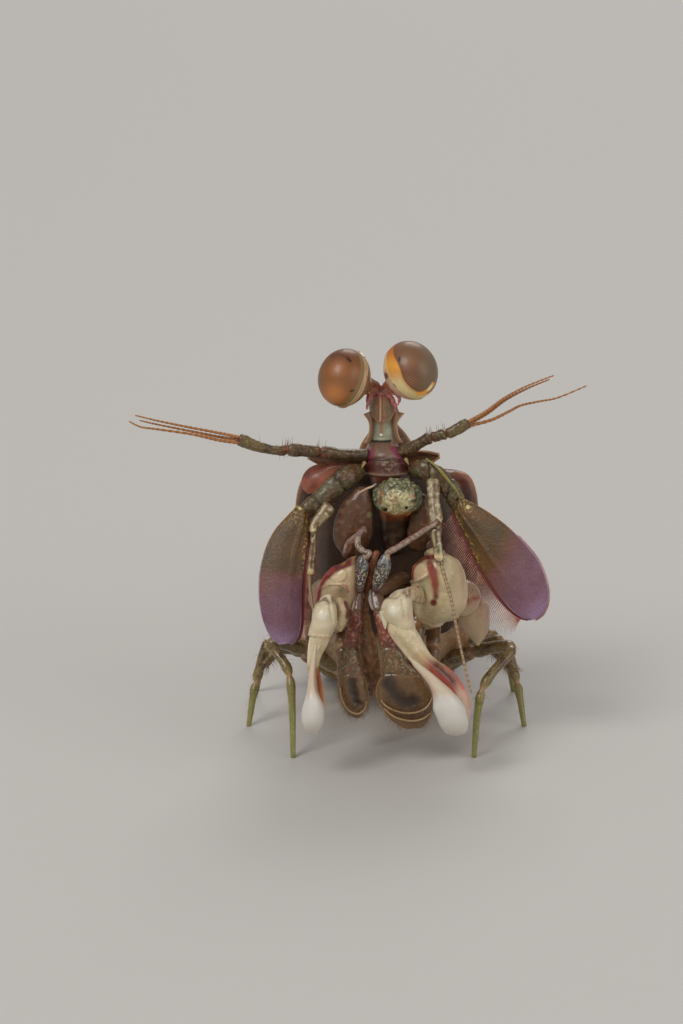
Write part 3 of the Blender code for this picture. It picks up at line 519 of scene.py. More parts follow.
def make_shell_group():
    """Ground, mottling, flecks, grain and painted washes as one effect."""
    tree = bpy.data.node_groups.new("speckled_shell", "ShaderNodeTree")
    for name in ("Ground", "Dark", "Pale"):
        socket(tree, name, "Color")
    for name, value in (("Scale", 1.0), ("Dark Above", 0.5), ("Pale Above", 0.6), ("Ragged", 0.3),
                        ("Grain", 0.2)):
        socket(tree, name, "Float", value)
    socket(tree, "Colour", "Color", output=True)
    socket(tree, "Height", "Float", output=True)
    given = tree.nodes.new("NodeGroupInput")
    made = tree.nodes.new("NodeGroupOutput")
    links = tree.links
    place = add(tree, "TexCoord")
    millimetres = add(tree, "VectorMath", operation="SCALE")
    millimetres.inputs["Scale"].default_value = 1 / MM
    links.new(place.outputs["Object"], millimetres.inputs[0])
    sized = add(tree, "VectorMath", operation="SCALE")
    links.new(millimetres.outputs[0], sized.inputs[0])
    links.new(given.outputs["Scale"], sized.inputs["Scale"])

    def cloudy(source, scale, detail):
        texture = add(tree, "TexNoise")
        links.new(source, texture.inputs["Vector"])
        texture.inputs["Scale"].default_value = scale
        texture.inputs["Detail"].default_value = detail
        return texture.outputs["Fac"]

    patches = cloudy(sized.outputs[0], 1.0, 4.0)
    flecks = cloudy(sized.outputs[0], 3.7, 2.0)
    grain = cloudy(millimetres.outputs[0], 9.0, 2.0)
    edge = add(tree, "Math", operation="ADD")
    edge.inputs[1].default_value = 0.12
    links.new(given.outputs["Dark Above"], edge.inputs[0])
    dark = stepped(tree, patches, given.outputs["Dark Above"], edge.outputs[0])
    fleck_edge = add(tree, "Math", operation="ADD")
    fleck_edge.inputs[1].default_value = 0.06
    links.new(given.outputs["Pale Above"], fleck_edge.inputs[0])
    pale = stepped(tree, flecks, given.outputs["Pale Above"], fleck_edge.outputs[0])
    colour = mixed(tree, dark, given.outputs["Ground"], given.outputs["Dark"])
    colour = mixed(tree, pale, colour, given.outputs["Pale"])
    wash = add(tree, "Attribute", attribute_name="tint")
    shifted = add(tree, "Math", operation="MULTIPLY_ADD")
    links.new(flecks, shifted.inputs[0])
    links.new(given.outputs["Ragged"], shifted.inputs[1])
    links.new(wash.outputs["Alpha"], shifted.inputs[2])
    centred = add(tree, "Math", operation="MULTIPLY_ADD")
    links.new(given.outputs["Ragged"], centred.inputs[0])
    centred.inputs[1].default_value = -0.5
    links.new(shifted.outputs[0], centred.inputs[2])
    guarded = add(tree, "Math", operation="MULTIPLY", use_clamp=True)
    links.new(centred.outputs[0], guarded.inputs[0])
    links.new(stepped(tree, wash.outputs["Alpha"], 0.0, 0.08), guarded.inputs[1])
    colour = mixed(tree, guarded.outputs[0], colour, wash.outputs["Color"])
    grained = add(tree, "MapRange", clamp=False)
    links.new(grain, grained.inputs["Value"])
    grained.inputs["From Min"].default_value = 0.5
    grained.inputs["From Max"].default_value = 0.9
    grained.inputs["To Min"].default_value = 1.0
    strongest = add(tree, "Math", operation="ADD")
    strongest.inputs[1].default_value = 1.0
    links.new(given.outputs["Grain"], strongest.inputs[0])
    links.new(strongest.outputs[0], grained.inputs["To Max"])
    tinted = add(tree, "VectorMath", operation="SCALE")
    links.new(colour, tinted.inputs[0])
    links.new(grained.outputs["Result"], tinted.inputs["Scale"])
    links.new(tinted.outputs[0], made.inputs["Colour"])
    links.new(grain, made.inputs["Height"])
    return tree


SHELL_GROUP = make_shell_group()
print("node group:", SHELL_GROUP.name)

# %% [markdown]
# ## Mixing a finish
# A finish is the shared effect with its colours, a Principled shader and a fine bump. Light goes a little
# way into thin shell, so most finishes let some of it scatter, with a reach of less than a millimetre.

# %% Finish
GRAIN_HEIGHT = 0.05
COAT_ROUGHNESS = 0.08
SCATTER_REACH = 0.5
SCATTER_COLOURS = (1.0, 0.6, 0.4)


def finish(name, ground, dark, pale, scale=1.0, dark_above=0.5, pale_above=0.62, ragged=0.5, rough=0.4,
           bump=0.25, coat=0.0, scatter=0.12, grain=0.4):
    """A shell finish. Scale is in patches per millimetre."""
    material = bpy.data.materials.new(name)
    material.use_nodes = True
    tree = material.node_tree
    shader = tree.nodes["Principled BSDF"]
    group = add(tree, "Group", node_tree=SHELL_GROUP)
    for label, value in (("Ground", ground), ("Dark", dark), ("Pale", pale)):
        group.inputs[label].default_value = (*tone(*value), 1.0)
    for label, value in (("Scale", scale), ("Dark Above", dark_above), ("Pale Above", pale_above),
                         ("Ragged", ragged), ("Grain", grain)):
        group.inputs[label].default_value = value
    tree.links.new(group.outputs["Colour"], shader.inputs["Base Color"])
    bumped = add(tree, "Bump")
    bumped.inputs["Strength"].default_value = bump
    bumped.inputs["Distance"].default_value = GRAIN_HEIGHT * MM
    tree.links.new(group.outputs["Height"], bumped.inputs["Height"])
    tree.links.new(bumped.outputs["Normal"], shader.inputs["Normal"])
    shader.inputs["Roughness"].default_value = rough
    shader.inputs["Coat Weight"].default_value = coat
    shader.inputs["Coat Roughness"].default_value = COAT_ROUGHNESS
    shader.inputs["Subsurface Weight"].default_value = scatter
    shader.inputs["Subsurface Radius"].default_value = SCATTER_COLOURS
    shader.inputs["Subsurface Scale"].default_value = SCATTER_REACH * MM
    return material


FINISHES = {
    "shell": finish("body_shell", (140, 104, 68), (96, 66, 44), (186, 154, 112), scale=0.8, rough=0.38,
                    coat=0.12),
    "neck": finish("neck_shell", (150, 112, 92), (122, 74, 66), (196, 170, 148), scale=1.6,
                   dark_above=0.56, pale_above=0.6, rough=0.35, coat=0.2),
    "cornea": finish("cornea", (128, 86, 50), (112, 72, 40), (150, 108, 70), scale=1.2, pale_above=0.7,
                     ragged=0.05, rough=0.42, bump=0.0, coat=0.12, scatter=0.2, grain=0.05),
    "stalk": finish("eyestalk", (166, 122, 78), (130, 84, 52), (206, 176, 128), scale=1.6, dark_above=0.52,
                    pale_above=0.6, rough=0.25, coat=0.5),
    "peduncle": finish("feeler_stem", (98, 76, 48), (56, 40, 28), (166, 138, 84), scale=2.2,
                       dark_above=0.48, pale_above=0.57, coat=0.2),
    "scale": finish("antennal_scale", (98, 80, 48), (72, 56, 36), (140, 116, 70), scale=5.0,
                    pale_above=0.58, ragged=0.25, rough=0.42, bump=0.8),
    "labrum": finish("labrum", (110, 112, 70), (60, 62, 40), (196, 196, 150), scale=3.4, dark_above=0.47,
                     pale_above=0.52, coat=0.25),
    "epistome": finish("epistome", (96, 54, 46), (66, 34, 34), (150, 112, 96), scale=2.4, coat=0.25),
    "ivory": finish("ivory_shell", (216, 194, 154), (182, 150, 106), (240, 230, 206), pale_above=0.6,
                    ragged=0.25, rough=0.32, bump=0.12, coat=0.35, scatter=0.35, grain=0.08),
    "club": finish("club_shell", (216, 206, 192), (208, 196, 180), (226, 220, 212), scale=0.5,
                   dark_above=0.55, pale_above=0.6, ragged=0.1, rough=0.34, bump=0.02, coat=0.3,
                   scatter=0.4, grain=0.03),
    "hand": finish("hand_shell", (126, 96, 62), (92, 64, 42), (166, 138, 98), scale=1.3, pale_above=0.6,
                   rough=0.3, bump=0.2, coat=0.4, scatter=0.25),
    "leg": finish("leg_shell", (122, 100, 58), (84, 62, 38), (166, 146, 92), scale=1.6, pale_above=0.6,
                  ragged=0.4, rough=0.32, bump=0.15, coat=0.3, scatter=0.25),
    "bristle": finish("bristle", (150, 112, 76), (112, 76, 52), (206, 176, 130), scale=1.5, pale_above=0.6,
                      bump=0.0),
    "fringe": finish("fringe", (184, 118, 98), (150, 84, 70), (214, 160, 136), scale=1.5, pale_above=0.6,
                     bump=0.0),
}
print("finishes:", ", ".join(sorted(FINISHES)))

# %% [markdown]
# ## Finishing a piece
# Each mesh is placed, smoothed, given its finish and tied to the one body of this still model, and the solids
# it stands for are hidden. The object itself stays at the origin, as the solids' objects do.


def show(name, mesh, look):
    """An object for a placed mesh, smooth, with its finish and tied to the one body."""
    mesh.shade_smooth()
    mesh.materials.append(FINISHES[look])
    obj = bpy.data.objects.new(name, mesh)
    bpy.context.scene.collection.objects.link(obj)
    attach(obj, "root")
    return obj


def piece(name, bm, look, *nodes):
    """A finished piece that stands for nodes."""
    bmesh.ops.transform(bm, matrix=PLACE, verts=bm.verts)
    bmesh.ops.triangulate(bm, faces=[face for face in bm.faces if len(face.verts) > 4])
    mesh = bpy.data.meshes.new(name)
    bm.to_mesh(mesh)
    bm.free()
    obj = show(name, mesh, look)
    if nodes:
        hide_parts(*nodes)
    print(name, len(mesh.polygons), "faces")


# %% [markdown]
# ## Hairs
# Feelers, mouth limbs and tail carry stiff hairs. Thousands of them are one mesh: a single tapered hair is
# made with operators, and copies of it are turned to stand on chosen corners of a shell. Their own UV map
# gives each hair a tiny patch of its own, placed by where along its limb and on which side the root lies.

# %% Hairs
PATCH = 0.003
ROOT_SINK = 0.05
HAIR_BEND = 0.35


def hair_template():
    """Corners and faces of one curved hair, one unit long and one unit thick, along Z."""
    bm = bmesh.new()
    bmesh.ops.create_cone(bm, cap_ends=True, segments=3, radius1=1.0, radius2=0.0, depth=1.0)
    bmesh.ops.translate(bm, vec=(0, 0, 0.5), verts=bm.verts)
    upright = [edge for edge in bm.edges if abs(edge.verts[0].co.z - edge.verts[1].co.z) > 0.5]
    bmesh.ops.subdivide_edges(bm, edges=upright, cuts=2)
    bmesh.ops.triangulate(bm, faces=bm.faces)
    corners = np.array([vert.co[:] for vert in bm.verts])
    faces = np.array([[vert.index for vert in face.verts] for face in bm.faces])
    bm.free()
    return corners, faces, HAIR_BEND * corners[:, 2] ** 2


HAIR = hair_template()


def hairs(name, look, roots):
    """Roots are rows of (root, direction, lean, length, thickness, u, v), all places in millimetres."""
    corners, faces, curve = HAIR
    count = len(corners)
    places, patches = [], []
    for root, direction, lean, length, thickness, u, v in roots:
        z_axis = Vector(direction).normalized()
        x_axis = Vector(lean) - z_axis * Vector(lean).dot(z_axis)
        x_axis = x_axis.normalized() if x_axis.length > 1e-6 else z_axis.orthogonal().normalized()
        y_axis = z_axis.cross(x_axis)
        turn = np.array((x_axis, y_axis, z_axis))
        local = corners * (thickness, thickness, length)
        local[:, 0] += curve * length
        places.append(local @ turn + np.array(root))
        patches.append(np.clip((u, v), 0.01, 0.98) + corners[:, :2] * PATCH / 2)
    places = (np.concatenate(places) - np.array(HOME)) * MM
    patches = np.concatenate(patches)
    indices = (faces[None] + (np.arange(len(roots)) * count)[:, None, None]).reshape(-1, 3)
    mesh = bpy.data.meshes.new(name)
    mesh.from_pydata(places.tolist(), [], indices.tolist())
    layer = mesh.uv_layers.new(name="OFBake")
    layer.uv.foreach_set("vector", patches[indices.reshape(-1)].reshape(-1))
    unpainted = mesh.color_attributes.new(name="tint", type="FLOAT_COLOR", domain="POINT")
    unpainted.data.foreach_set("color", np.zeros(4 * len(places)))
    show(name, mesh, look)
    print(name, len(roots), "hairs,", len(indices), "triangles")


def rooted(bm, rule, length, thickness=0.03, lie=(0, 0, -1), lean=0.5, share=1.0):
    """Hair roots on the corners of bm where rule(place, way) is true, for a share of them."""
    way = bm.verts.layers.float_color["way"]
    bm.normal_update()
    roots = []
    for vert in bm.verts:
        if random.random() < share and rule(vert.co, vert[way]):
            along, x, y, _ = vert[way]
            direction = vert.normal + Vector(lie) * lean + Vector([random.uniform(-0.2,
                                                                                  0.2) for _ in range(3)])
            size = length * random.uniform(0.6, 1.15)
            turn = math.atan2(y, x) / (2 * math.pi) + 0.5
            roots.append((vert.co - vert.normal * ROOT_SINK, direction, lie, size, thickness, along, turn))
    return roots


print("one hair has", len(HAIR[1]), "triangles")

# %% [markdown]
# ## The line of the body
# The animal rears on its walking legs: the carapace stands upright, the body bends behind it and the tail
# lies level, swung a little to the animal's left. One curve carries all of that, and the rings of the body
# sit on it.

# %% Body line
FRONT = Vector((0.0, 6.2, 21.3))
BODY_LENGTH = 64.0
CARAPACE_LENGTH, THORAX_END = 13.0, 21.0
THORAX_RINGS = 4
THORAX_STEP = (THORAX_END - CARAPACE_LENGTH) / THORAX_RINGS
BEND_START, BEND_END, TAIL_START = 9.0, 21.0, 50.0
REARED_PITCH, LEVEL_PITCH, TAIL_PITCH, TAIL_YAW = 94.0, 2.5, 9.0, 14.0
STEP = 0.05


def body_angles(s):
    """Pitch below the horizon and swing to the left of the centre line at s, in radians."""
    bend = clamp((s - BEND_START) / (BEND_END - BEND_START))
    tail = clamp((s - TAIL_START) / (BODY_LENGTH - TAIL_START))
    pitch = REARED_PITCH + (LEVEL_PITCH - REARED_PITCH) * bend + (TAIL_PITCH - LEVEL_PITCH) * tail
    yaw = TAIL_YAW * clamp((s - BEND_END) / (BODY_LENGTH - BEND_END))
    return math.radians(pitch), math.radians(yaw)


def tailwards(s):
    """The way to the tail at s."""
    pitch, yaw = body_angles(s)
    return Vector((math.sin(yaw) * math.cos(pitch), math.cos(yaw) * math.cos(pitch), -math.sin(pitch)))


BODY_LINE = [FRONT.copy()]
for index in range(int(BODY_LENGTH / STEP) + 20):
    BODY_LINE.append(BODY_LINE[-1] + tailwards((index + 0.5) * STEP) * STEP)


def body_frame(s):
    """X across, Y towards the tail and Z out of the back at s."""
    index = int(max(s, 0.0) / STEP)
    centre = BODY_LINE[index] + tailwards(s) * (s - index * STEP)
    along = tailwards(s)
    yaw = body_angles(s)[1]
    across = Vector((math.cos(yaw), -math.sin(yaw), 0.0))
    return frame_of(across, along, across.cross(along), centre)


def on_body(s, x, z):
    """The point x across and z out of the back at s."""
    return body_frame(s) @ Vector((x, 0.0, z))


print("tail end of the line:", [round(c, 1) for c in BODY_LINE[-1]])

# %% [markdown]
# ## Rings of the body
# Each somite is a hoop: arched above, flatter below, with a raised rear rim that laps over the next one. It
# is grown like a limb, but its rings are squared a little and stand on the body line.

# %% Hoops


def squared(power):
    """A section that turns the circle into a rounded box."""
    return lambda x, y: (math.copysign(abs(x) ** power, x), math.copysign(abs(y) ** power, y))


def hoop(stations, sides=72, spans=4, power=0.8):
    """A closed length of body through stations of (s, half width, back, belly)."""
    frames = []
    for s, width, back, belly in smooth_row([Vector(station) for station in stations], spans):
        axes = body_frame(s)
        x_axis, y_axis, z_axis, centre = (axes.col[i].to_3d() for i in range(4))
        middle = centre + z_axis * ((back - belly) / 2)
        frames.append(frame_of(x_axis * width, z_axis * ((back + belly) / 2), y_axis, middle))
    return grow(frames, sides, squared(power))


def body_wash(co, way):
    """Brown bands and rusty margins over the ground colour."""
    along, _, y, _ = way
    return [
        (tone(162, 104, 68), 0.5 * ease(cloud(co, 0.35), 0.0, 0.5)),
        (tone(96, 92, 60), 0.45 * ease(cloud(co, 0.3, 9.0), 0.05, 0.5)),
        (tone(92, 58, 42), 0.5 * ease(cloud(co, 1.1, 5.0), 0.12, 0.4) * ease(y, -0.1, 0.5)),
        (tone(176, 96, 70), 0.7 * ease(along, 0.86, 0.97)),
        (tone(206, 176, 138), 0.6 * ease(-y, 0.3, 0.9)),
    ]


print("a hoop has 72 sides")

# %% [markdown]
# ## Carapace
# The shield covers the head's rear and the first limbs. It has two long grooves, a rim, and wings that
# stand free of the body at its front corners, which show in the photograph as a salmon flap beside the
# mouth.

# %% Carapace
CARAPACE = [(0.0, 5.6, 1.7, 1.7), (0.35, 6.6, 2.2, 1.95), (1.2, 7.15, 2.9, 2.25), (3.0, 7.5, 3.5, 2.5),
            (6.5, 7.6, 4.0, 2.6), (10.0, 7.5, 4.0, 2.6), (12.3, 7.3, 3.7, 2.5), (12.95, 7.0, 3.4, 2.3)]


def carapace_relief(co, way):
    """Grooves beside the middle, a raised rim and fine granules on the back."""
    along, x, y, _ = way
    back = ease(y, 0.1, 0.4)
    groove = hump(abs(x) - 0.42 - 0.06 * along, 0.045)
    rim = hump(along - 0.96, 0.02) + hump(abs(x) - 0.985, 0.02)
    hollow = ease(-y, 0.05, 0.6) * ease(abs(x), 0.62, 0.9)
    return back * (0.1 * rim - 0.28 * groove) + 0.02 * cloud(co, 3.0) - 0.9 * hollow


def carapace_wash(co, way):
    """The body's washes, a salmon inner face at the front corners, and painted shade that darkens the belly
    side behind the limbs.
    """
    along, x, y, _ = way
    inner = ease(-y, -0.05, 0.3)
    return body_wash(co, way) + [
        # painted shade: the belly side of the shield, which lies in shadow behind the face and limbs, is
        # darkened
        (tone(58, 36, 25), 0.95 * inner),
        (tone(122, 62, 44), 0.85 * inner * ease(abs(x), 0.6, 0.8) * (1 - ease(along, 0.1, 0.4))),
        (tone(196, 130, 98), 0.8 * hump(y + 0.1, 0.1) * (1 - ease(along, 0.2, 0.5))),
    ]


FLAP_TOP = [(353, 463), (338, 461.5), (322, 463), (309, 468), (302, 478), (303, 489)]
FLAP_RIM = [(358, 467), (346, 471), (333, 475.5), (326, 482), (321.5, 490), (308, 494)]


def flap_wash(co, way):
    """Salmon with brown clouds and a bright rim."""
    return [
        (tone(158, 86, 66), 0.9),
        (tone(112, 62, 46), 0.7 * ease(cloud(co, 1.1, 2.0), 0.0, 0.4)),
        (tone(214, 130, 104), 0.8 * ease(way[1], 0.1, 0.8)),
        (tone(240, 178, 150), 0.9 * ease(way[1], 0.88, 0.97)),
    ]


def flap_fold(along, across):
    """A soft wave across the flap."""
    return BACK * (0.12 * math.sin(along * 9 + across * 2))


shield = push(hoop(CARAPACE, sides=96, spans=7, power=0.9), carapace_relief)
wing = panel([spot(*at, 3.0) for at in FLAP_TOP], [spot(*at, 2.4) for at in FLAP_RIM], 0.2, 0.3,
             60, 30, flap_fold)
piece("carapace_shield", joined(paint(shield, carapace_wash), paint(wing, flap_wash)), "shell", "carapace")

# %% [markdown]
# ## Rostral plate and the leaves of the head
# A three-cornered plate is hinged on the carapace's front edge. In front of it two thin brown leaves reach
# to the sides under the feelers. All are thin plates: a grid bent into place and given a thickness.

# %% Leaf plates


def leaf(path, halves, across, thickness, camber=0.0, rows=24, columns=16):
    """A thin plate along a smooth path, halves wide to each side, that bulges by camber."""
    spans = 8
    centres = smooth_row([Vector(point) for point in path], spans)
    widths = smooth_row([float(half) for half in halves], spans)
    last = len(centres) - 1

    def place(along, side):
        at = along * last
        index = min(int(at), last - 1)
        centre = centres[index].lerp(centres[index + 1], at - index)
        width = widths[index] + (widths[index + 1] - widths[index]) * (at - index)
        ahead = (centres[min(index + 1, last)] - centres[max(index - 1, 0)]).normalized()
        x_axis = Vector(across)
        x_axis = (x_axis - ahead * x_axis.dot(ahead)).normalized()
        u = side * 2 - 1
        return centre + x_axis * (u * width) + x_axis.cross(ahead) * (camber * (1 - u * u))

    return sheet(rows, columns, place, thickness)


def plate_wash(co, way):
    """A pale rim round a brown plate."""
    along, u, _, _ = way
    rim = max(ease(abs(u), 0.86, 0.98), ease(along, 0.93, 0.99))
    stripes = ease(math.sin(u * 9 + 4 * cloud(co, 0.8)), 0.0, 0.8)
    return [(tone(128, 88, 60), 0.75), (tone(88, 56, 38), 0.5 * stripes), (tone(196, 150, 106), 0.85 * rim)]


rostral = leaf([(0, 7.9, 21.7), (0, 8.0, 22.9), (0, 7.9, 24.0), (0, 7.7, 24.8), (0, 7.5, 25.6)],
               [2.3, 2.1, 1.4, 0.6, 0.06], ACROSS, 0.35, camber=0.4, rows=48, columns=32)
piece("rostral_shield", paint(rostral, plate_wash), "shell", "rostral_plate")
leaf_right = leaf([(-1.4, 3.9, 22.5), (-3.2, 3.4, 22.7), (-5.0, 3.0, 23.0), (-6.4, 2.8, 23.3)],
                  [0.7, 0.8, 0.5, 0.04], (0.25, 0.0, 1.0), 0.2, camber=0.25, rows=40, columns=20)
leaf_left = leaf([(1.2, 3.9, 22.7), (2.3, 3.4, 22.9), (3.3, 3.0, 23.1), (4.1, 2.8, 23.3)],
                 [0.6, 0.65, 0.42, 0.02], (-0.25, 0.0, 1.0), 0.2, camber=0.25, rows=40, columns=20)
piece("head_leaves", paint(joined(leaf_right, leaf_left), plate_wash), "neck")

# %% [markdown]
# ## Thorax and abdomen
# Four short open somites carry the walking legs, then six long ones make the abdomen. Each tucks its front
# edge under the one before. The last one has six spines, and every somite has a keel low on each flank.

# %% Somites
ABDOMEN_LENGTHS = (5.8, 5.8, 5.8, 5.6, 5.3, 4.4)
ABDOMEN_WIDTHS = (6.3, 6.4, 6.45, 6.4, 6.2, 5.6)
LAP = 0.5


def somite_relief(co, way):
    """A raised rear rim, a groove before it, a keel on each flank and fine grain."""
    along, x, y, _ = way
    rim = hump(along - 0.93, 0.035) - 0.8 * hump(along - 0.82, 0.03)
    keel = hump(y - 0.18, 0.07) * ease(abs(x), 0.6, 0.9)
    crease = hump(abs(x) - 0.55, 0.03) * ease(y, 0.3, 0.6)
    return 0.07 * rim * ease(y, -0.4, 0.1) + 0.14 * keel - 0.05 * crease + 0.018 * cloud(co, 2.5)


def somite(start, end, width, back, belly):
    """One hoop of the body, its front tucked in and its rear rim turned under."""
    length = end - start
    rows = [(start - LAP, width - 0.75, back - 0.55, belly - 0.35),
            (start, width - 0.4, back - 0.28, belly - 0.1),
            (start + 0.25 * length, width - 0.08, back, belly), (start + 0.7 * length, width, back, belly),
            (end + 0.1, width - 0.06, back - 0.08, belly - 0.05),
            (end + 0.25, width - 0.3, back - 0.3, belly - 0.25),
            (end - 0.1, width - 0.7, back - 0.7, belly - 0.6)]
    return push(hoop(rows), somite_relief)


def thorn(root, tip, radius, sides=10):
    """A slightly hooked spine."""
    root, tip = Vector(root), Vector(tip)
    middle = root.lerp(tip, 0.5)
    across = (tip - root).orthogonal()
    return limb([root, middle, tip], [(radius, radius), (radius * 0.6, radius * 0.6), (0.04, 0.04)], across,
                sides=sides, spans=4)


for number in range(THORAX_RINGS):
    start = CARAPACE_LENGTH + number * THORAX_STEP + 0.15
    width = 6.8 - 0.12 * number
    ring = somite(start, start + 1.9, width, 3.3, 2.8)
    piece("thorax_ring_%d" % (number + 5), paint(ring, body_wash), "shell", "thorax_%d" % (number + 5))

start = THORAX_END + 0.2
for number, length in enumerate(ABDOMEN_LENGTHS, 1):
    ring = somite(start, start + length - 0.1, ABDOMEN_WIDTHS[number - 1], 3.1, 2.45 - 0.12 * (number - 1))
    if number == 6:
        end = start + length
        spines = [thorn(on_body(end - 1.4, x, 2.6 - 0.035 * x * x),
                        on_body(end + 0.7, x * 1.08, 2.7 - 0.04 * x * x),
                        0.42) for x in (-4.4, -2.6, -0.9, 0.9, 2.6, 4.4)]
        ring = joined(ring, *spines)
    piece("tail_ring_%d" % number, paint(ring, body_wash), "shell", "abdomen_%d" % number)
    start += length

# %% [markdown]
# ## Telson and tail fan
# The telson is a thick shield with keels along its back and six teeth behind. To each side of it the
# uropods spread: a forked spine below, a jointed outer paddle edged with spines and hair, and an inner
# paddle.

# %% Telson
TELSON_START = 54.0
TELSON_LENGTH = 10.0


def telson_wash(co, way):
    """The body's washes, cream side edges and a violet rear margin."""
    along, u, _, _ = way
    return body_wash(co, (0.0, 0.0, 1.0, 1.0)) + [
        (tone(206, 176, 130), 0.8 * ease(abs(u), 0.9, 1.0)),
        (tone(150, 96, 116), 0.75 * ease(along, 0.8, 0.97)),
    ]


def telson_mesh():
    """The plate, its keels and its teeth."""
    stations = [TELSON_START + TELSON_LENGTH * share for share in (0.0, 0.25, 0.55, 0.8, 0.93)]
    axis = body_frame(TELSON_START).col[0].to_3d()
    plate = leaf([on_body(s, 0.0, 0.1) for s in stations], [4.9, 5.3, 5.1, 4.3, 3.2], axis, 1.1, camber=1.0,
                 rows=44, columns=60)
    paint(plate, telson_wash)
    parts = [plate]
    for x, rise in ((0.0, 1.7), (-1.7, 1.45), (1.7, 1.45), (-3.3, 0.95), (3.3, 0.95)):
        keel = limb([on_body(55.0, x * 1.1, rise - 0.25), on_body(58.5, x * 1.15, rise),
                     on_body(62.2, x * 0.9,
                    rise - 0.35)], [(0.25, 0.3), (0.42, 0.5), (0.2, 0.25)], axis, sides=16, spans=8)
        parts.append(paint(keel, lambda co, way: [(tone(196, 158, 112), 0.7 * ease(way[2], 0.2, 0.8))]))
    for x, reach in ((1.1, 0.0), (2.9, -0.9), (4.5, -2.6)):
        for side in (LEFT, RIGHT):
            root = on_body(BODY_LENGTH - 2.2 + reach * 0.8, side * (x - 0.25), 0.2)
            tooth = thorn(root, on_body(BODY_LENGTH + reach, side * x, -0.1), 0.7, sides=14)
            parts.append(paint(tooth, lambda co, way: [(tone(214, 180, 150), ease(way[0], 0.5, 0.9))]))
    return joined(*parts)


piece("telson_shield", telson_mesh(), "shell", "telson")

# %% [markdown]
# ## Uropods
# Their paddles carry the violet of the antennal scales, and a fringe of swimming hairs all round.

# %% Uropods
UROPOD_START = 52.5


def paddle_wash(co, way):
    """Olive at the root, violet towards the end, with a pale rim."""
    along, u, _, _ = way
    return [(tone(134, 92, 128), ease(along, 0.25, 0.75)),
            (tone(196, 168, 190), 0.7 * ease(abs(u), 0.85, 1.0))]


def edge_roots(path, halves, across, length, count=70):
    """Hair roots round the edge of a leaf, pointing outwards."""
    spans = 12
    centres = smooth_row([Vector(point) for point in path], spans)
    widths = smooth_row([float(half) for half in halves], spans)
    last = len(centres) - 1
    roots = []
    for side in (-1, 1):
        for number in range(count):
            at = (0.12 + 0.88 * number / (count - 1)) * last
            index = min(int(at), last - 1)
            share = at - index
            ahead = (centres[index + 1] - centres[index]).normalized()
            x_axis = Vector(across)
            x_axis = (x_axis - ahead * x_axis.dot(ahead)).normalized() * side
            root = centres[index].lerp(centres[index + 1], share)
            root += x_axis * ((widths[index] + (widths[index + 1] - widths[index]) * share) * 0.97)
            forward = 0.5 + 2.5 * ease(at / last, 0.7, 1.0)
            direction = x_axis + ahead * forward
            size = length * random.uniform(0.8, 1.1)
            roots.append((root, direction, ahead, size, 0.025, 0.5 + 0.4 * side, at / last))
    return roots


fringe_roots = []
for side in (LEFT, RIGHT):
    s = UROPOD_START
    root_piece = limb([on_body(s, side * 4.5, -1.2), on_body(s + 1.8, side * 5.6, -1.2),
                       on_body(s + 3.4, side * 6.4,
                      -1.1)], [(1.2, 0.8), (1.2, 0.75), (0.9, 0.6)])
    parts = [paint(root_piece, lambda co, way: [(tone(176, 120, 88), 0.5 * ease(way[0], 0.5, 1.0))])]
    leaves = (
        ([on_body(s + 2.2, side * 6.1, -1.0), on_body(s + 4.5, side * 7.3, -0.8),
          on_body(s + 6.8, side * 8.1, -0.9)],
         [0.7, 1.15, 1.0], 0.4),
        ([on_body(s + 6.3, side * 7.9, -0.9), on_body(s + 8.5, side * 8.4, -1.0),
          on_body(s + 10.4, side * 8.5, -1.2),
          on_body(s + 11.5, side * 8.5, -1.3)], [0.7, 1.2, 1.0, 0.3], 1.0),
        ([on_body(s + 2.4, side * 6.0, -1.2), on_body(s + 5.0, side * 6.3, -1.5),
          on_body(s + 7.5, side * 6.3, -1.6),
          on_body(s + 8.8, side * 6.2, -1.7)], [0.45, 0.75, 0.7, 0.25], 0.9),
    )
    for path, halves, hair_length in leaves:
        parts.append(paint(leaf(path, halves, ACROSS, 0.4, camber=0.15), paddle_wash))
        fringe_roots += edge_roots(path, halves, ACROSS, hair_length)
    for x, reach in ((0.0, 7.2), (0.75, 5.6)):
        fork = thorn(on_body(s + 1.8, side * (5.2 + x), -1.6),
                     on_body(s + reach, side * (5.0 + x), -2.0), 0.42)
        parts.append(paint(fork, lambda co, way: [(tone(210, 176, 140), ease(way[0], 0.4, 0.9))]))
    for k in range(8):
        spine = thorn(on_body(s + 3.2 + 0.48 * k, side * (7.1 + 0.2 * k), -0.9),
                      on_body(s + 4.3 + 0.5 * k, side * (8.3 + 0.22 * k), -0.9), 0.16, sides=8)
        parts.append(stained(spine, tone(216, 150, 110)))
    piece("tail_fan_" + TAGS[side], joined(*parts), "scale", "uropod_" + TAGS[side])
hairs("tail_fringe", "fringe", fringe_roots)

# %% [markdown]
# ## Swimmerets
# Under each of the first five tail somites a pair of soft flaps is folded back. They are thin leaves with a
# fringe of hairs on the free edge.

# %% Swimmerets


def near_floor(s, x, height):
    """The point x across the body at s, at a height above the floor."""
    point = on_body(s, x, 0.0)
    return Vector((point.x, point.y, height))


flap_roots = []
for number in range(1, 6):
    for side in (LEFT, RIGHT):
        s = THORAX_END + sum(ABDOMEN_LENGTHS[:number - 1]) + 1.3
        path = [on_body(s, side * 3.2, -1.9)]
        for behind, across, height in ((1.4, 3.7, 1.35), (3.0, 4.3, 0.95), (4.6, 4.6, 0.8)):
            path.append(near_floor(s + behind, side * across, height))
        halves = [0.5, 1.2, 1.5, 0.7]
        flap = paint(leaf(path, halves, ACROSS, 0.3, rows=16, columns=12), paddle_wash)
        name = "pleopod_%d_%s" % (number, TAGS[side])
        piece("swim_" + name, flap, "leg", name)
        flap_roots += edge_roots(path, halves, ACROSS, 0.7, count=24)
hairs("swim_fringe", "fringe", flap_roots)

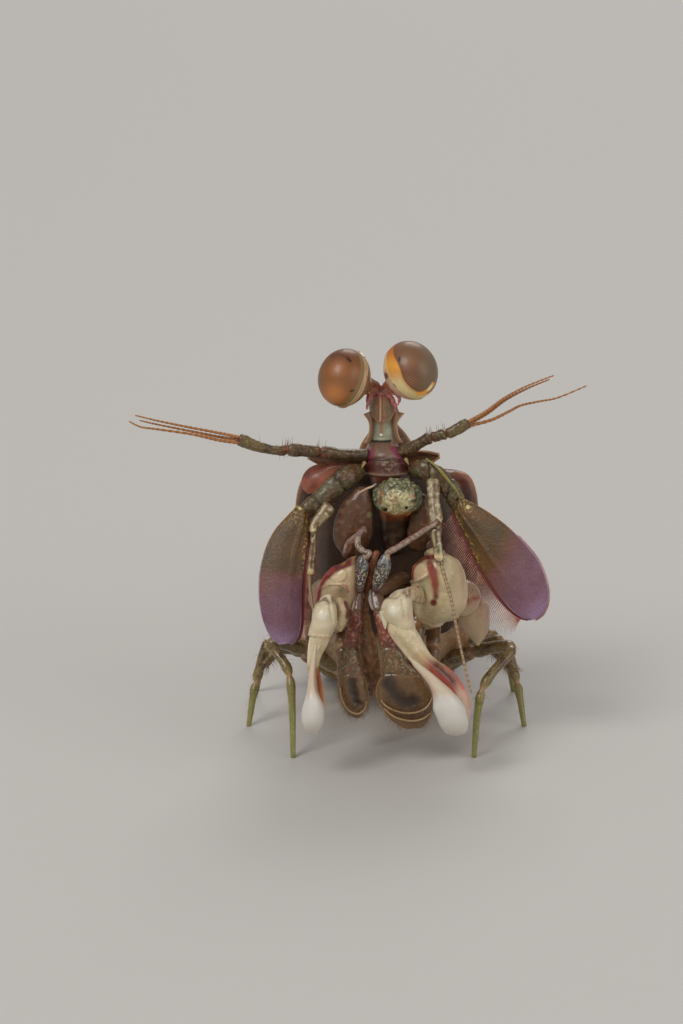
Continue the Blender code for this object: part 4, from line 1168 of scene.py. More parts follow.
# %% [markdown]
# ## Jointed limbs
# A crustacean's limb is a row of stiff articles with softer joints between. The tube is pinched at each
# joint and swells on both sides of it, and the joint itself is paler. The same helper makes the walking
# legs and the rear mouth limbs.

# %% Jointed limbs
JOINTED_SPANS = 14


def jointed(path, sizes, across=ACROSS, pinch=0.32, sides=20, wash=None, caps=FULL_CAPS):
    """A limb pinched at every inner point of its path."""
    bm = limb(path, sizes, across, sides, JOINTED_SPANS, caps)
    inner = len(path) - 1
    cap = len(CAP_TURNS)
    total = inner * JOINTED_SPANS + 2 * cap
    places = [(index * JOINTED_SPANS + cap) / total for index in range(1, inner)]
    half = sum(min(size) for size in sizes) / len(sizes)

    def relief(co, way):
        drop = sum(hump(way[0] - place, 0.012) for place in places)
        swell = sum(hump(abs(way[0] - place) - 0.035, 0.02) for place in places)
        return half * (0.16 * swell - pinch * drop) + 0.012 * cloud(co, 5.0)

    push(bm, relief)

    def joint_wash(co, way):
        drop = max([hump(way[0] - place, 0.014) for place in places] or [0.0])
        return (wash(co, way) if wash else []) + [(tone(196, 150, 108), 0.7 * drop)]

    return paint(bm, joint_wash)


print("spans between the points of a jointed limb:", JOINTED_SPANS)


# %% [markdown]
# ## Walking legs
# Three pairs of slender legs stand under the thorax, each with a soft side branch. They are olive, with
# yellow green ends, and a few hairs.

# %% Walking legs
WALKING_LEGS = {
    RIGHT: {
        1: ((-9.4, 0.4, 8.2), (-7.9, -1.8, 6.2), (-7.6, -3.9, 0.0)),
        2: ((-9.6, 6.6, 6.6), (-10.8, 5.6, 3.4), (-11.4, 4.4, 0.0)),
        3: ((-8.8, 12.6, 5.6), (-10.4, 13.2, 3.0), (-11.0, 14.2, 0.0)),
    },
    LEFT: {
        1: ((10.0, 0.2, 7.9), (7.6, -2.2, 5.2), (6.9, -3.8, 0.0)),
        2: ((9.6, 6.6, 6.6), (10.8, 5.6, 3.4), (11.4, 4.4, 0.0)),
        3: ((8.8, 12.6, 5.6), (10.4, 13.2, 3.0), (11.0, 14.2, 0.0)),
    },
}


def leg_wash(co, way):
    """Yellow green towards the foot."""
    return [(tone(150, 150, 80), 0.7 * ease(way[0], 0.6, 0.85)),
            (tone(196, 190, 150), 0.8 * ease(way[0], 0.93, 1.0))]


bristles = []
for side in (LEFT, RIGHT):
    for number, (knee, ankle, foot) in WALKING_LEGS[side].items():
        hip = on_body(CARAPACE_LENGTH + (number + 0.5) * THORAX_STEP, side * 4.4, -1.9)
        thigh = hip.lerp(Vector(knee), 0.5) + Vector((0, 0, 0.4))
        leg = jointed([hip, thigh, knee, ankle, foot],
                      [(0.75, 0.68), (0.6, 0.54), (0.46, 0.42), (0.36, 0.34), (0.2, 0.2)],
                      (0, 1, 0.1), wash=leg_wash,
                      caps=(0.5, 0.1))
        branch = jointed([thigh, thigh + Vector((side * 2.0, -0.6, 0.2)),
                          thigh + Vector((side * 3.4, -1.0, -1.3))],
                         [(0.34, 0.3), (0.3, 0.26), (0.14, 0.12)], (0, 1, 0.1), sides=12)
        bristles += rooted(leg, lambda co, way: 0.4 < way[0] and co.z > 1.0, 0.7, 0.02, share=0.06)
        bristles += rooted(branch, lambda co, way: way[0] > 0.4 and co.z > 1.0, 0.9, 0.02, share=0.2)
        name = "walking_leg_%d_%s" % (number, TAGS[side])
        piece("jointed_" + name, joined(leg, branch), "leg", name)

# %% [markdown]
# ## Neck
# The eyes stand on a narrow neck of two somites. The lower has a ridge down its face, a spine on each side
# and a pale flared base, and a frilled pink collar closes its top.

# %% Neck
NECK_ROWS = [(366, 449, 400, 449, 4.0, 1.5), (368.5, 442, 397, 442, 4.0, 1.35),
             (370, 435, 396, 435, 3.95, 1.2), (371, 428, 394.5, 428, 3.9, 1.1),
             (371, 421, 394, 421, 3.85, 1.1), (369.5, 414, 396, 414, 3.8, 1.1),
             (369.5, 406, 396, 406, 3.8, 1.1), (371.5, 400, 394, 400, 3.8, 1.0)]
FLANGES = ((((371, 411), (372.5, 420), (372, 429), (371, 437), (369, 443)),
            ((363.6, 414), (368.6, 421), (369.6, 429), (367.8, 437), (364.5, 443))),
           (((395, 411), (394, 420), (394.5, 429), (396, 437), (398, 443)),
            ((404.5, 413), (398, 421), (397, 429), (398.8, 436.5), (402.5, 442))))
PINK = tone(206, 116, 112)
PALE_PINK = tone(222, 150, 140)


def neck_relief(co, way):
    """A raised oval shield with a sharp ridge, and a groove across the base."""
    at = seen(co)
    front = ease(way[2], -0.2, 0.4)
    shield = 1 - ease(math.hypot((at.x - 382.5) / 12.5, (at.y - 407.0) / 15.0), 0.92, 1.04)
    ridge = hump(at.x - 380.6, 1.1) * ease(at.y, 434, 420)
    groove = hump(at.y - 443.5, 1.6) * (1 - ease(abs(at.x - 381.5), 8.0, 11.0))
    bead = near(at, (381, 435), 2.4)
    return front * (0.16 * shield + 0.18 * ridge - 0.25 * groove + 0.16 * bead) + 0.015 * cloud(co, 4.0)


def neck_wash(co, way):
    """Olive brown shield, pale orange ridge, whitish green base with a bead, and a dark teal groove."""
    at = seen(co)
    ink = ease(way[3], 0.0, 0.3)
    round_shield = math.hypot((at.x - 382.5) / 12.5, (at.y - 407.0) / 15.0)
    base = ease(at.y, 419, 427) * (1 - ease(at.y, 438, 443))
    return [
        (tone(152, 124, 98), 0.8),
        (tone(128, 104, 78), 0.7 * (1 - ease(round_shield, 0.8, 1.0))),
        (tone(172, 132, 96), 0.8 * ink * hump(abs(at.x - 380.6) - 3.4, 1.6) * (1 - ease(at.y, 412, 422))),
        (tone(190, 160, 130), 0.7 * hump(round_shield - 1.0, 0.05)),
        (tone(158, 164, 136), 0.85 * base),
        (tone(188, 188, 164), 0.6 * base * ease(cloud(co, 1.6), -0.1, 0.4)),
        (tone(232, 168, 122), ink * streak(at, [(380.6, 396), (380.4, 422)], 1.7, 0.7)),
        (tone(176, 110, 84), 0.8 * ink * streak(at, [(381.6, 422), (381.4, 432)], 2.2)),
        (tone(104, 60, 44), 0.7 * ink * streak(at, [(381.9, 397), (381.8, 421)], 0.9)),
        (tone(250, 244, 226), ink * near(at, (381, 435), 1.9)),
        (tone(44, 54, 46), 0.9 * ink * streak(at, [(373, 441), (381, 442), (390, 441)], 2.0)),
        (tone(150, 174, 140), 0.8 * ink * streak(at, [(376, 443.4), (386, 443.2)], 1.2)),
        (tone(38, 44, 36), 0.9 * ink * streak(at, [(372, 446), (382, 445.4), (391, 446)], 1.5)),
        (PINK, 0.8 * (1 - ease(at.y, 394, 400))),
    ]


neck = paint(push(drawn(NECK_ROWS, sides=96, spans=16), neck_relief), neck_wash)
flanges = []
for inner, outer in FLANGES:
    flange = panel([spot(*at, 3.3) for at in inner], [spot(*at, 3.0) for at in outer], 0.16, 0.1, 40, 16)
    flanges.append(paint(flange, lambda co, way: [(tone(150, 112, 78), 0.6),
                                                  (tone(224, 186, 146), 0.85 * ease(way[1], 0.72, 0.95))]))
piece("neck_lower", joined(neck, *flanges), "neck", "antennular_somite")

print("flanges beside the neck:", len(flanges))


# %% [markdown]
# ## Collar
# A pink frill of soft folds closes the top of the neck. Thin tubes laid over a short core make its folds.

# %% Collar


FRILL_LINES = [(((377, 391.5), (371.5, 394), (368.6, 400), (367.2, 408.5)), 0.3),
               (((385.5, 392.5), (391, 397), (394.5, 404), (397.6, 411.5)), 0.3),
               (((389, 392.5), (395.5, 394), (399.4, 398), (398.4, 404.5)), 0.26),
               (((374, 393), (369.5, 390.5), (367, 394.5)), 0.22),
               (((383, 393.5), (386.5, 389), (390, 391.5)), 0.22),
               (((372.5, 396), (367.8, 397), (366.8, 402.5)), 0.2),
               (((387, 395.5), (392.5, 399.5), (391.6, 404)), 0.2),
               (((376, 390.5), (380.5, 393.5), (385.5, 390)), 0.24)]
frills = [drawn([(374, 401, 390, 401, 3.8, 0.8), (373, 396, 390, 396, 3.7, 0.85),
                 (375, 391, 388, 391, 3.5, 0.75), (378, 387.5, 385, 387.5, 3.4, 0.45)], sides=40, spans=10)]
for points, half in FRILL_LINES:
    row = [(x, y, 2.75 - 0.05 * index) for index, (x, y) in enumerate(points)]
    frills.append(traced(row, [half * 0.6] * (len(row) - 1) + [half * 0.3], sides=14))
frill = joined(*frills)
push(frill, lambda co, way: 0.05 * cloud(co, 4.0))
paint(frill, lambda co, way: [(tone(160, 98, 84), 0.9), (PINK, 0.85 * ease(cloud(co, 1.6, 3.0), -0.15, 0.15)),
                              (PALE_PINK, 0.7 * ease(cloud(co, 3.2), 0.1, 0.4)),
                              (tone(140, 52, 60), 0.6 * ease(-cloud(co, 2.8, 4.0), 0.15, 0.4))])
piece("neck_collar", frill, "neck", "ophthalmic_somite")

# %% [markdown]
# ## Eyes
# The corneas are large amber balls on short cups, and the rim by the cup lights up orange, yellow and
# white. The rim is painted by the distance along the eye's own axis, so it wraps round as the real one
# does. The finer marks are laid where the photograph shows them, so they are truest from the front. A faint
# gloss lies over it all.
# A painted highlight, orange to pale yellow, lies on the lower outer edge of the left cornea.

# %% Eyes
EYE_CENTRES = {RIGHT: (-3.5, 1.5, 30.0), LEFT: (1.78, 1.5, 30.6)}
CORNEA_RADII = {RIGHT: (2.05, 2.35, 2.1), LEFT: (2.12, 2.42, 2.16)}


def eye_root(side):
    """Where the stalk leaves the neck."""
    return Vector((-0.5 + side * 0.5, 3.2, 28.75))


def eye_axis(side):
    """The way from the neck to the middle of the cornea."""
    return (Vector(EYE_CENTRES[side]) - eye_root(side)).normalized()


def right_cornea_wash(co, way):
    """Amber with a brown crown, faint level lines, dark pupil spots and an olive rim by the cup."""
    at = seen(co)
    sideways, down = (at.x - 339.0) / 25.0, (at.y - 378.0) / 29.0
    front = (co - Vector(EYE_CENTRES[RIGHT])).dot(eye_axis(RIGHT)) / 2.1
    ink = ease(way[3], 0.0, 0.2)
    lines = 0.5 + 0.5 * math.sin(at.y * 2.6 + 2.5 * cloud(co, 1.0))
    return [
        (tone(150, 92, 42), 0.9),
        (tone(106, 58, 28), 0.8 * ease(-down, 0.15, 0.9)),
        (tone(104, 88, 60), 0.85 * ease(-sideways, 0.45, 1.0)),
        (tone(206, 134, 70), 0.85 * ink * near(at, (334, 396), 19, 1.0)),
        (tone(182, 122, 72), 0.5 * ink * near(at, (338, 368), 14, 1.0)),
        (tone(116, 88, 64), 0.6 * ink * lines * hump(at.y - 381, 7) * ease(at.x, 326, 348)),
        (tone(92, 48, 26), 0.7 * ink * streak(at, [(332, 356), (339, 353.5), (347, 357)], 3.0, 1.0)),
        (tone(26, 16, 13), ink * streak(at, [(347.6, 358.4), (350.4, 361.2)], 2.4, 1.0)),
        (tone(44, 26, 18), 0.9 * ink * streak(at, [(350.6, 391), (353.6, 390.8)], 1.6, 0.7)),
        (tone(112, 52, 28), 0.8 * ease(down, 0.84, 1.0)),
        (tone(146, 122, 80), 0.95 * ease(-front, -0.1, 0.02)),
        (tone(222, 204, 160), 0.8 * hump(front + 0.2, 0.035)),
        (tone(150, 88, 50), 0.6 * ease(-front, 0.25, 0.4)),
    ]


def left_cornea_wash(co, way):
    """Grey brown glass with fine curved lines, a rim that runs from orange through yellow to cream, and a
    painted highlight, orange to pale yellow, on the lower outer edge.
    """
    at = seen(co)
    front = (co - Vector(EYE_CENTRES[LEFT])).dot(eye_axis(LEFT)) / 2.16
    ink = ease(way[3], 0.0, 0.2)
    border = 0.22 + 0.17 * hump(at.y - 366, 13)
    rim = 1 - ease(front, border - 0.04, border + 0.03)
    low = ease(at.y, 358, 392)
    lines = 0.5 + 0.5 * math.sin((at.x * 0.5 + at.y) * 2.2 + 2.5 * cloud(co, 0.8))
    glass = 1 - rim
    return [
        (tone(126, 88, 60), 0.9),
        (tone(122, 104, 78), 0.8 * ease(at.x, 414, 430)),
        (tone(150, 104, 70), 0.6 * ink * near(at, (409, 362), 15, 1.0)),
        (tone(86, 52, 36), 0.8 * ink * lines * near(at, (411, 377), 15, 1.0)),
        (tone(196, 140, 90), 0.45 * ink * (1 - lines) * near(at, (410, 380), 11, 1.0)),
        (tone(122, 66, 26), 0.8 * glass * hump(front - border, 0.08)),
        (tone(206, 116, 26), rim),
        (tone(236, 168, 66), rim * hump(at.y - 366, 9)),
        (tone(232, 210, 152), rim * ease(at.y, 368, 386)),
        (tone(168, 84, 24), 0.9 * rim * (1 - ease(at.y, 342, 358))),
        (tone(196, 140, 78), 0.75 * rim * low * ease(front, border - 0.14, border)),
        (tone(250, 236, 196), 0.7 * rim * ease(-front, 0.1, 0.2) * (1 - low)),
        (tone(206, 150, 140), 0.7 * rim * ease(-front, 0.22, 0.32) * low),
        (tone(50, 34, 30), 0.9 * ink * max(near(at, (394, 385), 1.5), near(at, (395.6, 387), 1.1))),
        (tone(30, 18, 14), ink * streak(at, [(399.6, 357.5), (399.3, 361.0)], 1.9, 1.0)),
        # painted highlight: an orange and pale yellow glint along the lower outer edge of the cornea
        (tone(255, 176, 60), ink * streak(at, [(417, 394), (424, 392.8), (429.5, 389), (433, 383.5)],
                                          2.4, 0.8)),
        (tone(255, 244, 190), ink * streak(at, [(428, 390), (431.5, 386)], 1.5, 0.8)),
        (tone(76, 36, 48), 0.85 * ink * near(at, (385, 376), 4.5)),
    ]


print("cornea radii:", CORNEA_RADII)


# %% [markdown]
# ## Building the eyes
# Each cornea is a ball with its own three radii, and the stalk behind it widens into a cup.

# %% Building the eyes


CORNEA_WASHES = {RIGHT: right_cornea_wash, LEFT: left_cornea_wash}


def stalk_wash(co, way):
    """Amber that pales to a cream rim, and a pink root."""
    return [
        (tone(196, 152, 98), 0.7 * ease(way[0], 0.5, 0.75)),
        (tone(236, 214, 176), 0.85 * hump(way[0] - 0.84, 0.03)),
        (tone(168, 76, 80), 0.6 * (1 - ease(way[0], 0.15, 0.4))),
    ]


for side in (LEFT, RIGHT):
    tag = TAGS[side]
    centre, axis = Vector(EYE_CENTRES[side]), eye_axis(side)
    eye = ball(centre, axis, CORNEA_RADII[side], segments=160, rings=110)
    piece("cornea_" + tag, paint(eye, CORNEA_WASHES[side]), "cornea", "eye_" + tag)
    root = eye_root(side)
    cup = centre - axis * 0.55
    across = axis.cross(Vector((0, 0, 1)))
    stalk = limb([root, root.lerp(cup, 0.4), root.lerp(cup, 0.75), cup],
                 [(0.55, 0.6), (0.75, 0.85), (1.6, 1.8), (2.06, 2.35)], across, sides=72,
                 spans=12, caps=(0.3, 0.2))
    push(stalk, lambda co, way: 0.03 * math.sin(way[0] * 50) * ease(way[0], 0.4, 0.7))
    piece("eye_cup_" + tag, paint(stalk, stalk_wash), "stalk", "eyestalk_" + tag)

# %% [markdown]
# ## Antennules
# Each has a stem of three mottled articles with bristles at the joints, and three lashes with many low
# rings.

# %% Antennules
ANTENNULES = {
    RIGHT: ([(368, 449, 366, 463, 2.9, 0.7), (352, 449, 352, 461, 2.3, 0.62),
             (336, 448, 336, 460, 1.9, 0.55), (322, 446, 322, 458, 1.6, 0.5),
             (312, 445, 312, 458, 1.5, 0.52), (303, 444.5, 303, 456.5, 1.45, 0.46),
             (290, 444, 289, 456, 1.35, 0.44), (280, 445.5, 279, 455.5, 1.25, 0.4),
             (270, 444.5, 268, 454, 1.2, 0.36), (258, 440.5, 254, 451, 1.1, 0.4),
             (246, 435, 240.5, 447, 1.0, 0.46), (241.5, 434, 237, 445, 1.0, 0.4)],
            (0.29, 0.56),
            [[(243, 438, 0.8), (222, 433.5, 0.9), (188, 427, 0.9), (156, 420.4, 0.5), (135.6, 415.4, 0.2)],
             [(243, 440.5, 0.9), (220, 437, 1.2), (190, 431, 1.1), (158, 424.6, 0.8), (140, 420.5, 0.6)],
             [(242, 443, 0.8), (219, 440.2, 0.6), (192, 434.2, 0.2), (156, 429, -0.3), (141, 427, -0.5),
              (129.5, 421.6, -0.6)]]),
    LEFT: ([(396, 447, 397, 461, 2.9, 0.7), (407, 443, 411, 455, 2.3, 0.62),
            (417, 438.5, 421, 449, 1.95, 0.52), (424, 434.5, 429, 444, 1.8, 0.5),
            (431, 432, 435, 442, 1.8, 0.45), (439, 430.5, 443, 439.5, 1.8, 0.42),
            (446, 428.5, 450, 438.5, 1.85, 0.4), (454, 424.5, 459, 434.5, 1.9, 0.44),
            (461.5, 420, 467.5, 430, 2.0, 0.46), (465, 418.5, 471, 427.5, 2.0, 0.4)],
           (0.42, 0.63),
           [[(466, 423, 2.1), (485.6, 411.8, 2.4), (504.6, 397.9, 2.8), (527, 386, 2.9),
             (553.4, 375.6, 3.0)],
            [(467, 425, 2.3), (487, 413.6, 2.7), (506, 399.8, 3.0), (528, 388.2, 3.2), (549, 379.6, 3.3)],
            [(468, 426, 2.3), (491.4, 419.9, 2.9), (509, 411.4, 3.4), (521, 405.4, 3.9), (539, 401.4, 4.3),
             (558, 397.6, 4.7), (586, 386, 5.0)]]),
}


LASH_RINGS = 60


def lash(points, thick, thin, marks, ground=tone(186, 122, 62)):
    """A ringed lash that thins towards its end, through points of (pixel x, pixel y, depth)."""
    last = len(points) - 1
    radii = [thick + (thin - thick) * index / last for index in range(last + 1)]
    bm = traced(points, radii, sides=10, spans=max(4, 2 * LASH_RINGS // last))

    def wave(way):
        """Up and down once for each pair of rings."""
        return math.sin(way[0] * LASH_RINGS * 3.1)

    push(bm, lambda co, way: 0.1 * thick * wave(way))
    return paint(bm, lambda co, way: [(ground, 0.8), (tone(100, 60, 34), marks * ease(wave(way), 0.1, 0.9))])
print("rings on a lash:", LASH_RINGS)

# %% [markdown]
# ## Building the antennules
# The stem's washes follow its joints, which are given as shares of its length.

# %% Building the antennules


def stem_rule(joints):
    """The washes of an antennule's stem: dark olive, red at the joints, gold specks."""
    def rule(co, way):
        joint = max(hump(way[0] - place, 0.03) for place in joints)
        end = ease(way[0], 0.88, 0.97)
        return [
            (tone(84, 62, 40), 0.7),
            (tone(116, 96, 56), 0.8 * ease(way[0], 0.55, 0.8)),
            (tone(60, 44, 30), 0.7 * ease(cloud(co, 1.1, 3.0), -0.1, 0.4)),
            (tone(150, 66, 52), 0.75 * joint * ease(cloud(co, 2.0), -0.3, 0.2)),
            (tone(158, 138, 90), 0.55 * ease(cloud(co, 6.5, 5.0), 0.18, 0.45)),
            (tone(168, 164, 128), 0.5 * ease(-way[2], 0.2, 0.9) * ease(cloud(co, 1.4, 7.0), 0.0, 0.4)),
            (tone(90, 40, 32), 0.8 * end),
        ]
    return rule


for side in (LEFT, RIGHT):
    rows, joints, tips = ANTENNULES[side]
    stem = drawn(rows, sides=48, spans=12, caps=(0.5, 0.25))

    def stem_relief(co, way):
        """Pinched joints with a swelling before each, and rough skin."""
        drop = sum(hump(way[0] - place, 0.014) for place in joints)
        swell = sum(hump(way[0] - place + 0.05, 0.03) for place in joints)
        return 0.07 * swell - 0.16 * drop + 0.04 * cloud(co, 1.6) + 0.03 * cloud(co, 4.0)

    push(stem, stem_relief)
    paint(stem, stem_rule(joints))

    def by_joint(co, way):
        """Bristles stand near the joints and are scarce between them."""
        at_joint = any(abs(way[0] - place) < 0.035 for place in joints)
        return at_joint or (way[0] > 0.2 and random.random() < 0.06)

    bristles += rooted(stem, by_joint, 0.9, 0.024, lie=(-side * 0.1, -0.3, 1), lean=0.8, share=0.05)
    parts = [stem]
    for tip in tips:
        parts.append(lash(tip, 0.15, 0.055, marks=0.35))
    piece("antennule_limb_" + TAGS[side], joined(*parts), "peduncle", "antennule_" + TAGS[side])

# %% [markdown]
# ## Antennae
# The protopod is a stout olive joint beside the mouth. From it hang the scale and a second feeler, whose
# first articles are marked with gold and white before the ringed lash begins.

# %% Antennae
ANTENNAE = {
    RIGHT: {
        "protopod": [(359, 464, 364, 476, 2.2, 0.75), (346, 465, 357, 484, 1.4, 0.95),
                     (334, 472, 347, 491, 0.9, 0.9), (323, 483, 337, 499, 0.6, 0.8),
                     (313, 493, 327, 508, 0.4, 0.72), (304, 501, 315, 516, 0.3, 0.55),
                     (298.5, 507, 306, 519, 0.2, 0.4)],
        "shoulders": (0.36, 0.68),
        "stem": [(323, 503, 334, 512, -0.2, 0.5), (317, 512, 327, 520, -0.5, 0.45),
                 (310.5, 522, 319, 528, -0.8, 0.42), (309.5, 531, 316.5, 531, -1.0, 0.36),
                 (310.5, 541, 316, 541, -1.1, 0.3), (309.5, 550, 316, 550, -1.2, 0.32),
                 (308, 560, 315, 561, -1.4, 0.34), (307, 571, 314.5, 572, -1.6, 0.36),
                 (307, 577, 313, 577, -1.8, 0.26)],
        "rings": (0.36, 0.86),
        "lash": [(309.5, 576, -1.9), (310, 588, -2.8), (311.5, 598, -3.6), (312.5, 606, -4.4),
                 (314, 617, -5.6)],
    },
    LEFT: {
        "protopod": [(411, 462, 411, 476, 2.2, 0.75), (417, 460, 418, 479, 1.4, 0.88),
                     (425, 460, 426, 482, 1.0, 0.9), (433, 462, 433, 487, 0.7, 0.82),
                     (445, 470, 440, 493, 0.5, 0.74), (455, 480, 447, 502, 0.35, 0.62),
                     (461, 491, 452.5, 510, 0.2, 0.5), (464, 497, 456, 513, 0.1, 0.4)],
        "shoulders": (0.36, 0.66),
        "stem": [(426, 482, 440, 481, 0.0, 0.55), (427, 492, 440, 491, -0.4, 0.52),
                 (427.5, 502, 440, 501, -0.8, 0.5), (428.5, 515, 442.5, 515, -1.3, 0.55),
                 (429.5, 519, 442.5, 520, -1.5, 0.55), (430.5, 525, 441, 525, -1.9, 0.42),
                 (430.6, 533, 440.4, 533, -2.6, 0.4), (432, 542, 441.4, 541, -3.5, 0.36),
                 (433.5, 552, 443, 551, -4.8, 0.38), (434.6, 559, 443.5, 559, -5.8, 0.36),
                 (437.5, 564, 443.5, 563.5, -6.4, 0.25)],
        "rings": (0.48, 0.84),
        "lash": [(440.5, 562, -6.3), (446, 581, -7.3), (451.6, 601, -8.2), (455.4, 622, -8.8),
                 (460, 645, -9.3), (465.5, 669, -10.1), (471, 692, -11.1)],
    },
}
print("rings along the stem:", ANTENNAE[LEFT]["rings"])

# %% [markdown]
# ## Building the antennae
# The protopod and the stem are both drawn from their edges, and the lash is a thin ringed tube.

# %% Building the antennae


def protopod_rule(places):
    """Olive brown with grey green fields, dark seams and gold specks."""
    def rule(co, way):
        seam = max(hump(way[0] - place, 0.02) for place in places)
        return [
            (tone(92, 74, 46), 0.85),
            (tone(112, 110, 84), 0.75 * ease(cloud(co, 0.5, 4.0), -0.1, 0.35) * ease(way[2], 0.2, 0.9)),
            (tone(104, 58, 36), 0.6 * ease(cloud(co, 1.0, 1.0), 0.0, 0.4)),
            (tone(48, 34, 24), 0.8 * seam),
            (tone(158, 138, 88), 0.6 * ease(cloud(co, 6.0, 8.0), 0.18, 0.45)),
            (tone(56, 42, 28), 0.6 * ease(cloud(co, 2.4, 2.0), 0.15, 0.4)),
            (tone(232, 214, 140), 0.9 * ease(way[0], 0.9, 0.97) * ease(cloud(co, 2.4, 6.0), 0.0, 0.25)),
        ]
    return rule


def stem_saddles(rings):
    """Silver grey articles with cream ends, dark rings and a darker stripe along the middle."""
    def rule(co, way):
        pale = max(hump(way[0] - place, 0.035) for place in rings)
        dark = max(hump(way[0] - place - 0.07, 0.03) for place in rings)
        return [
            (tone(150, 134, 102), 0.75 * ease(way[2], -0.2, 0.6)),
            (tone(74, 62, 40), 0.85 * hump(way[1], 0.3) * ease(way[0], 0.25, 0.45)),
            (tone(206, 188, 150), 0.7 * hump(abs(way[1]) - 0.55, 0.2) * ease(way[2], 0.1, 0.6)),
            (tone(104, 66, 42), 0.7 * ease(cloud(co, 2.2), 0.1, 0.35)),
            (tone(58, 46, 38), 0.85 * dark),
            (tone(222, 200, 146), 0.95 * pale),
            (tone(236, 224, 186), 0.6 * ease(cloud(co, 3.6, 3.0), 0.25, 0.45)),
        ]
    return rule


for side in (LEFT, RIGHT):
    row = ANTENNAE[side]
    base = drawn(row["protopod"], sides=56, spans=12, caps=(0.8, 0.6))
    places = row["shoulders"]
    push(base, lambda co, way: 0.1 * cloud(co, 1.2) + 0.045 * cloud(co, 3.6)
         - 0.13 * max(hump(way[0] - place, 0.012) for place in places))
    paint(base, protopod_rule(places))
    stem = drawn(row["stem"], sides=32, spans=12, caps=(0.6, 0.3))
    rings = row["rings"]
    push(stem, lambda co, way: 0.02 * cloud(co, 5.0)
         - 0.1 * max(hump(way[0] - place - 0.05, 0.012) for place in rings))
    paint(stem, stem_saddles(rings))
    line = lash(row["lash"], 0.15, 0.09, marks=0.7, ground=tone(184, 156, 118))
    for ring in rings:
        bristles += rooted(stem, lambda co, way, ring=ring: abs(way[0] - ring) < 0.03, 0.9, 0.016,
                           lean=0.1, share=0.05)
    bristles += rooted(base, lambda co, way: way[2] < 0.2 and way[0] > 0.2, 0.6, 0.016,
                       lie=(0, -0.2, 1), share=0.008)
    parts = [base, stem, line]
    if side == LEFT:
        crest = traced([(426, 458.5, 0.6), (437, 467, -0.1), (446, 477.5, -0.5), (455, 489, -0.6),
                        (461, 499, -0.4)],
                       [0.05, 0.11, 0.12, 0.1, 0.05])
        parts.append(stained(crest, tone(148, 138, 66)))
    piece("antenna_limb_" + TAGS[side], joined(*parts), "peduncle", "antenna_" + TAGS[side])

# %% [markdown]
# ## Antennal scales
# The two great paddles give the animal its name. They are thin, pebbled, olive brown at the root and violet
# towards the end, with a pale lilac rim, a dark red inner edge and a comb of reddish hairs along it. Each
# is a grid stretched between its two edges as they are seen in the photograph.

# %% Antennal scales
SCALE_EDGES = {
    LEFT: ([(457.4, 500, 0.0), (454.8, 512.7, 0.0), (461.2, 529.3, -0.5), (467.6, 542, -0.9),
            (474, 556, -1.3), (481.6, 570.1, -1.7), (490.6, 584.1, -2.1), (500.8, 598.2, -2.5),
            (511, 609.6, -2.8), (519, 616, -2.95), (525, 618.9, -3.0), (530.5, 620.2, -3.0)],
           [(459.5, 498, 0.0), (466, 499.5, -0.2), (478, 505.6, -0.6), (492, 514.4, -1.0),
            (505, 524, -1.4), (518, 536, -1.8), (530, 549, -2.1), (540.3, 563.7, -2.5), (547.4, 584, -2.8),
            (548.3, 601, -2.9), (543.6, 613.5, -3.0), (536, 619.4, -3.0)]),
    RIGHT: ([(303, 509, 0.0), (305, 518, -0.2), (307.2, 530, -0.6), (306.2, 541, -0.9),
             (304.5, 553.5, -1.3), (302.8, 567.3, -1.7), (301.2, 583.3, -2.1), (300.6, 600.6, -2.5),
             (300.3, 616, -2.8), (299, 629, -3.0), (296, 637.4, -3.1), (291, 642.4, -3.1)],
            [(299.5, 506.5, 0.0), (294.5, 511.5, -0.2), (284.4, 521.3, -0.6), (275.3, 531.7, -0.9),
             (268.4, 544.3, -1.3), (263.8, 558, -1.7), (260.6, 573, -2.1), (259.8, 588, -2.5),
             (260.6, 603, -2.8), (264.2, 619.5, -3.0), (271.5, 634.6, -3.1), (280.5, 642.4, -3.1)]),
}
SCALE_AXES = {LEFT: ((458.0, 499.0), (540.0, 612.0)), RIGHT: ((303.0, 508.0), (284.0, 640.0))}


def scale_wash(side):
    """Olive gold to violet along the paddle, with a lilac rim and gold specks."""
    start, end = (Vector(point) for point in SCALE_AXES[side])
    line = end - start
    golden = (tone(186, 160, 84), tone(226, 206, 134))

    def rule(co, way):
        across, at = way[1], seen(co)
        share = (at - start).dot(line) / line.length_squared
        violet = ease(share + 0.07 * cloud(co, 0.9) + (0.1 * across if side == LEFT else -0.05 * across),
                      0.42, 0.8)
        change = hump(violet - 0.35, 0.28)
        fleck = ease(cloud(co, 6.5, 2.0), 0.15, 0.4)
        return [
            (tone(92, 72, 34), 0.85),
            (tone(112, 78, 34), 0.6 * ease(cloud(co, 0.7, 2.0), -0.2, 0.4)),
            (tone(70, 66, 38), 0.6 * ease(cloud(co, 0.8, 7.0), 0.0, 0.4)),
            (tone(126, 74, 62), 0.75 * change),
            (tone(130, 92, 108), 0.95 * violet),
            (tone(112, 66, 84), 0.45 * violet * ease(cloud(co, 1.0, 4.0), -0.1, 0.5)),
            (tone(166, 138, 172), 0.6 * ease(share, 0.86, 1.02)),
            (tone(190, 164, 198), 0.9 * max(ease(across, 0.955, 0.99) * ease(share, 0.25, 0.55),
                                            ease(way[0], 0.972, 0.99))),
            (tone(176, 122, 74), 0.8 * ease(across, 0.95, 0.99) * (1 - ease(share, 0.2, 0.5))),
            (golden[0], 0.75 * ease(-across, 0.72, 0.84) * (1 - ease(share, 0.35, 0.6)) * fleck),
            (golden[0], 0.8 * fleck * (1 - ease(share, 0.02, 0.22))),
            (golden[1], 0.95 * near(at, (468, 507) if side == LEFT else (300, 508), 2.6)),
            (tone(196, 172, 200), 0.7 * ease(-across, 0.94, 0.99) * ease(share, 0.7, 0.9)),
        ]
    return rule


